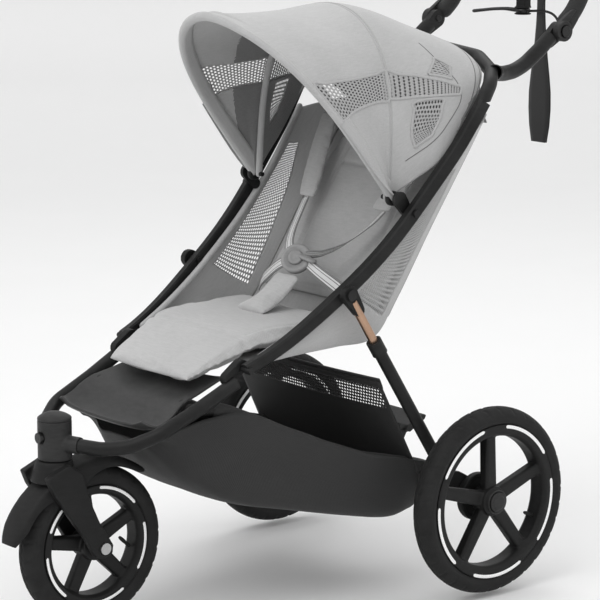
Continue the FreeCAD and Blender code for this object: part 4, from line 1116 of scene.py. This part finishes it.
def side_panel(u, v, lift=0.0):
    """The left side of the seat: u from its front end, 0, to its top, 1; v from the bar, 0, to the tub's
    edge, 1.  It bellies out a little between them."""
    u, v = np.broadcast_arrays(np.asarray(u, float), np.asarray(v, float))
    shape, u, v = u.shape, np.clip(u.ravel(), 0, 1), v.ravel()[:, None]
    place = u * 160
    k = np.clip(place.astype(int), 0, 159)
    f = (place - k)[:, None]
    a = BAR_LINE[k] * (1 - f) + BAR_LINE[k + 1] * f
    b = TUB_LINE[k] * (1 - f) + TUB_LINE[k + 1] * f
    belly = np.sin(math.pi * v) * 7.0 * MM
    points = a + (b - a) * v + belly * np.array((1.0, 0.0, 0.0)) + lift * MM * np.array((1.0, 0.0, 0.0))
    return points.reshape(shape + (3,))


def side_panel_right(u, v):
    return mirror(side_panel(u, v))


SIDE_WINDOW = (((0.36, 0.14), (0.52, 0.13), (0.7, 0.12), (0.86, 0.14)),
               ((0.4, 0.84), (0.54, 0.78), (0.7, 0.66), (0.86, 0.4)))


def seat_sides():
    for side, sign in SIDES:
        surface = side_panel if sign > 0 else side_panel_right
        inside = at(0, 0, 600)

        def lean(obj, u, v):
            return bend(obj)

        outline = patch(*SIDE_WINDOW, 40)
        panel, uv = cut_sheet("seat_side_fabric_" + side, surface, (0.0, 1.0), (0.0, 1.0), (120, 34), [outline],
                              (0.56, 0.14))
        lean(panel, uv[:, 0], uv[:, 1])
        panel.data.materials.append(FABRIC_SIDE)
        panel.modifiers.new("thickness", "SOLIDIFY").thickness = 1.6 * MM
        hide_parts("seat_side_" + side)
        made, uv = net("seat_side_net_" + side, surface, *SIDE_WINDOW, (17, 42), (0.7, 0.7), 0.6)
        painted(made, NET_GREY)
        lean(made, np.resize(uv[:, 0], len(made.data.vertices)), np.resize(uv[:, 1], len(made.data.vertices)))
        edge, uv = band_on("seat_side_binding_" + side, surface, inside, patch(*SIDE_WINDOW, 10), 4.5, 1.5,
                           lift=0.0, closed=True, count=220)
        painted(edge, PIPING)
        lean(edge, np.repeat(uv[:, 0], 6), np.repeat(uv[:, 1], 6))
        hem_line = along(surface(np.linspace(0.0, 1.0, 24), np.zeros(24)) + at(-sign * 3, -ORIGIN_Y, 3), 260)
        hem = tube("seat_edge_hem_" + side, hem_line, 5.5 * MM, 12, flatten=1.0)
        painted(fitted(hem, "upper_frame"), FABRIC)
        cord_line = surface(np.linspace(0.42, 1.0, 40), np.full(40, 1.0))
        cord = tube("seat_back_piping_" + side, cord_line, 2.2 * MM, 10)
        painted(cord, PIPING)
        u_rows = np.concatenate((np.full(3, 0.42), np.linspace(0.42, 1.0, 40), np.full(3, 1.0)))
        lean(cord, np.repeat(u_rows, 10), np.full(len(u_rows) * 10, 1.0))


def seat_back():
    """The rear of the seat: a taut panel behind the pad from one tub edge to the other."""
    rows = []
    for u in np.linspace(0.425, 1.0, 60):
        left = side_panel(u, 1.0)
        row = []
        for a in np.linspace(-1, 1, 41):
            p = left * np.array((a, 1.0, 1.0))
            bulge = (1 - a ** 4) * 8.0 * MM
            row.append(p + np.array((0.0, 0.83, -0.56)) * (bulge + 1.5 * MM))
        rows.append(row)
    shell = grid("seat_back_shell", rows)
    shell.data.materials.append(FABRIC_SIDE)
    shell.modifiers.new("thickness", "SOLIDIFY").thickness = 1.6 * MM
    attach(shell, "backrest")
    rows = []
    for y in np.linspace(-212, 30, 50):
        u = np.interp(y, [-215, -140, -60, 16, 30], [0.0, 0.135, 0.275, 0.41, 0.44])
        left = side_panel(u, 1.0)
        rows.append([left * np.array((a, 1.0, 1.0)) + np.array((0, 0, -3.0 * (1 - a ** 4))) * MM
                     for a in np.linspace(-1, 1, 31)])
    under = grid("seat_underside", rows)
    under.data.materials.append(FABRIC_SIDE)
    under.modifiers.new("thickness", "SOLIDIFY").thickness = 1.4 * MM
    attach(under, "upper_frame")


# ---- harness ----
def harness():
    lean = unit((0.42, -0.72, 0.55))
    middle = at(6, -12, 551)
    body = [(-6, 0.01), (-6, 23.5), (-5, 26.0), (2.5, 26.6), (4.6, 25.4), (5.6, 23.2), (5.6, 19.8), (4.6, 18.9),
            (4.6, 14.6), (3.4, 13.6), (3.4, 0.01)]
    shell = lathe("buckle_case", body, middle, lean, 72)
    painted(fitted(shell, "upper_frame", "buckle"), BUCKLE_GREY)
    knob = [(4.4, 12.9), (7.4, 12.6), (8.4, 11.4), (8.2, 8.4), (7.2, 6.2), (7.1, 3.4), (7.5, 0.01)]
    button = lathe("buckle_push", knob, middle, lean, 64)
    painted(fitted(button, "buckle_button", "buckle_button"), BUCKLE_GREY)
    for side, sign in SIDES:
        line = along(ats([(sign * 104, 98, 632), (sign * 92, 72, 606), (sign * 72, 40, 580), (sign * 46, 14, 564),
                          (sign * 20 + 4, -4, 560)]), 500)
        belt = strap("shoulder_strap_" + side, line, (1, 0.1, 0.6), [25 * MM, 25 * MM, 24 * MM, 20 * MM], 2.0 * MM)
        painted(belt, WEBBING)
        bend(belt)
        line = along(ats([(sign * 24 + 4, -6, 546), (sign * 54, -2, 532), (sign * 88, 6, 514), (sign * 118, 14, 496),
                          (sign * 136, 22, 482)]), 500)
        lap = strap("lap_strap_" + side, line, (0, 0.35, 1), [20 * MM, 24 * MM, 25 * MM], 2.0 * MM)
        painted(fitted(lap, "upper_frame"), WEBBING)
        if sign > 0:
            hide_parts("harness_webbing")
        tongue = tube("buckle_tongue_" + side, ats([(sign * 14 + 5, -9, 556), (sign * 26 + 5, -6, 553),
                                                    (sign * 34 + 5, -4, 551)]), 7.5 * MM, 16, flatten=0.55)
        painted(fitted(tongue, "upper_frame"), BUCKLE_GREY)


# ---- basket ----
BASKET_STATIONS = ((-372, 126, 322, 70, 300), (-340, 139, 336, 100, 262), (-300, 144, 344, 124, 222),
                   (-236, 162, 346, 145, 188), (-127, 182, 296, 160, 160), (-24, 202, 254, 170, 135),
                   (60, 209, 233, 172, 118), (112, 209, 218, 166, 122))
RAIL = ((122, -330, 360), (127, -285, 353), (140, -236, 334), (162, -127, 283), (182, -24, 241), (193, 90, 212),
        (196, 150, 187))


def basket():
    """A sagging tub of nylon, hung from sleeves on the two lower rails."""
    dense = spline(BASKET_STATIONS, 70)
    rows = []
    for k, (y, rim_x, rim_z, floor_x, floor_z) in enumerate(dense):
        sag = 5.0 * math.sin(math.pi * min(1.0, k / 60))
        half = [(rim_x, rim_z), (0.5 * (rim_x + floor_x) + 10, 0.6 * rim_z + 0.4 * floor_z),
                (floor_x + 5, floor_z + 16), (0.82 * floor_x, floor_z), (0.4 * floor_x, floor_z - sag), (0, floor_z - sag)]
        full = half + [(-x, z) for x, z in reversed(half[:-1])]
        line = spline(full, 81)
        rows.append([at(x, y, z) for x, z in line])
    last = np.array(rows[-1])
    for step in (6, 12, 18):
        rows.append(last + np.array((0, step, 0)) * MM
                    + np.stack((-0.0017 * step * last[:, 0], 0 * last[:, 0],
                                0.0194 * step * (0.2 - last[:, 2])), axis=1))
    tub = grid("basket_tub", rows)
    tub.data.materials.append(FABRIC_BLACK)
    tub.modifiers.new("thickness", "SOLIDIFY").thickness = 2.0 * MM
    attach(tub, "rear_frame")
    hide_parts("basket")
    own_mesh(tub)
    for side, sign in SIDES:
        rail = along(ats([(sign * x, y, z) for x, y, z in RAIL[1:]]), 300)
        ripple = 14.8 + 0.35 * np.sin(np.linspace(0, 38, len(rail)))
        sleeve = tube("basket_sleeve_" + side, rail[2:-8], ripple[2:-8] * MM, 20)
        painted(fitted(sleeve, "rear_frame"), FABRIC_BLACK)


def basket_back():
    """The rear panel between the legs: black nylon below, fine mesh above and a webbing band on top."""
    def panel(u, v, lift=0.0):
        u, v = np.broadcast_arrays(np.asarray(u, float), np.asarray(v, float))
        a = 1.0 - 2.0 * v
        share = 0.41 + 0.5 * u
        y = -72 + share * (117 + 72) - 10 * (1 - a * a) - lift
        return at(0, 0, 0) + np.stack(((198 + 14 * share) * a, y, 528 + share * (145 - 528)), axis=-1) * MM
    inside = at(0, -400, 600)
    outline = patch(((0.06, 0.02), (0.16, 0.02), (0.26, 0.025)), ((0.06, 0.98), (0.16, 0.98), (0.26, 0.975)), 24)
    sheet, uv = cut_sheet("basket_back_sheet", panel, (0.0, 1.0), (0.0, 1.0), (30, 50), [outline], (0.2, 0.4))
    sheet.data.materials.append(FABRIC_BLACK)
    sheet.modifiers.new("thickness", "SOLIDIFY").thickness = 1.6 * MM
    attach(sheet, "rear_frame")
    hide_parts("basket_back")
    mesh, uv = net("basket_back_net", panel, ((0.05, 0.02), (0.16, 0.02), (0.27, 0.025)),
                   ((0.05, 0.98), (0.16, 0.98), (0.27, 0.975)), (60, 7), (0.6, 0.6))
    painted(fitted(mesh, "rear_frame"), NET_BLACK)
    path = [(0.02, v) for v in np.linspace(0.0, 1.0, 12)]
    band, uv = band_on("basket_back_band", panel, inside, path, 22, 1.6, count=60)
    painted(fitted(band, "rear_frame"), WEBBING_BLACK)


# ---- handlebar ----
def handlebar():
    grip_x, grip_y, grip_z, top = 156.0, 443.0, 919.0, 998.0
    side = [(grip_x, grip_y + 14, grip_z + 10), (grip_x, grip_y + 38, grip_z + 32), (grip_x, grip_y + 56, grip_z + 60),
            (grip_x - 9, 505, top - 10), (132, 506, top - 1), (86, 506, top)]
    run = side + [(0, 506, top)] + [(-x, y, z) for x, y, z in reversed(side)]
    line = along(ats(run), 420)
    bar = tube("grip_wrapped", line[3:-3], 15.0 * MM, 28)
    painted(fitted(bar, "grip", "grip_bar"), WRAP)
    lever_line = along(ats([(8, 498, 941), (-6, 493, 942), (-20, 486, 943), (-38, 476, 942), (-52, 464, 940),
                            (-65, 453, 938)]), 600)
    width = np.interp(np.linspace(0, 1, len(lever_line)), [0, 0.15, 0.4, 0.75, 1], [7.5, 5.6, 4.2, 4.0, 4.4])
    blade = tube("brake_lever_blade", lever_line, width * MM, 18, flatten=0.72)
    hub = lathe("lever_hub", [(-4, 4.3), (-4, 12.0), (-3, 13.2), (3, 13.2), (4, 12.0), (4, 4.3)], at(10, 500, 941),
                (0, 0, 1), 48, closed=True)
    lever = joined("brake_lever_arm", [blade, hub])
    painted(fitted(lever, "brake_lever", "brake_lever"), PLASTIC_GLOSS)


def wrist_strap():
    """A loop of webbing folded flat, hung from the handlebar."""
    stations = [(978, 8), (940, 8), (900, 10), (865, 13), (830, 17), (795, 22), (760, 26), (735, 26.5), (718, 24),
                (710, 18)]
    line = along(ats([(50, 506.5, z) for z, half in stations]), 300)
    widths = [2 * half * MM for z, half in stations]
    front = strap("wrist_strap_front", line + at(0, -ORIGIN_Y - 1.8, 0), (1, 0, 0), widths, 2.2 * MM)
    rear = strap("wrist_strap_rear", line + at(0, -ORIGIN_Y + 1.8, 0), (1, 0, 0), widths, 2.2 * MM)
    turns = ats([(50, 506 + 18.5 * math.cos(t), 998 + 18.5 * math.sin(t)) for t in np.radians(range(-80, 261, 20))])
    loop = strap("wrist_strap_loop", along(turns, 500), (1, 0, 0), 16 * MM, 2.0 * MM)
    both = joined("wrist_strap_webbing", [front, rear, loop])
    painted(fitted(both, "grip", "wrist_strap"), WEBBING_BLACK)


# ---- studio ----
def studio():
    size = 14.0
    rows = []
    for y, z in spline([(-size, 0), (-3, 0), (3.4, 0), (5.2, 0.15), (6.0, 1.2), (6.2, 8.0)], 60):
        rows.append([(x, y, z) for x in np.linspace(-size, size, 20)])
    floor = grid("studio_floor", rows)
    floor.data.materials.append(floor_finish())
    turn = math.radians(CAMERA_AZIMUTH)
    floor.rotation_euler = (0, 0, turn)
    world = bpy.data.worlds.new("studio")
    bpy.context.scene.world = world
    world.use_nodes = True
    world.node_tree.nodes["Background"].inputs[0].default_value = (1, 1, 1, 1)
    world.node_tree.nodes["Background"].inputs[1].default_value = 0.92
    lights = (("key", 3.0, 44.0, -38, 52, 3.6), ("fill", 3.0, 8.0, 75, 30, 3.6), ("rim", 2.0, 16.0, 170, 50, 3.4))
    for name, size, power, swing, height, distance in lights:
        lamp = bpy.data.lights.new(name, "AREA")
        lamp.shape = "DISK"
        lamp.size = size
        lamp.energy = power
        obj = bpy.data.objects.new(name, lamp)
        bpy.context.scene.collection.objects.link(obj)
        a, e = math.radians(CAMERA_AZIMUTH + swing), math.radians(height)
        back = Vector((math.sin(a) * math.cos(e), -math.cos(a) * math.cos(e), math.sin(e)))
        obj.location = Vector((0, 0, 0.5)) + back * distance
        obj.rotation_mode = "QUATERNION"
        obj.rotation_quaternion = (-back).to_track_quat("-Z", "Y")
    bpy.context.scene.view_settings.view_transform = "Standard"


CAMERA_AZIMUTH = 51.167
CAMERA_ELEVATION = 11.13
CAMERA_DISTANCE = 4.4928
CAMERA_LENS = 159.07
CAMERA_TARGET = (0.0, 0.0321, 0.4775)


def camera():
    data = bpy.data.cameras.new("camera")
    data.lens = CAMERA_LENS
    data.sensor_width = 36.0
    obj = bpy.data.objects.new("camera", data)
    bpy.context.scene.collection.objects.link(obj)
    a, e = math.radians(CAMERA_AZIMUTH), math.radians(CAMERA_ELEVATION)
    back = Vector((math.sin(a) * math.cos(e), -math.cos(a) * math.cos(e), math.sin(e)))
    obj.location = Vector(CAMERA_TARGET) + back * CAMERA_DISTANCE
    obj.rotation_mode = "QUATERNION"
    obj.rotation_quaternion = (-back).to_track_quat("-Z", "Y")
    bpy.context.scene.camera = obj


def main():
    dress_nodes()
    mould_hard_parts()
    wheels()
    fender()
    footrest()
    canopy_cover()
    canopy_trim()
    seat_pads()
    seat_sides()
    seat_back()
    canopy_back()
    harness()
    basket()
    basket_back()
    handlebar()
    wrist_strap()
    camera()
    studio()


main()
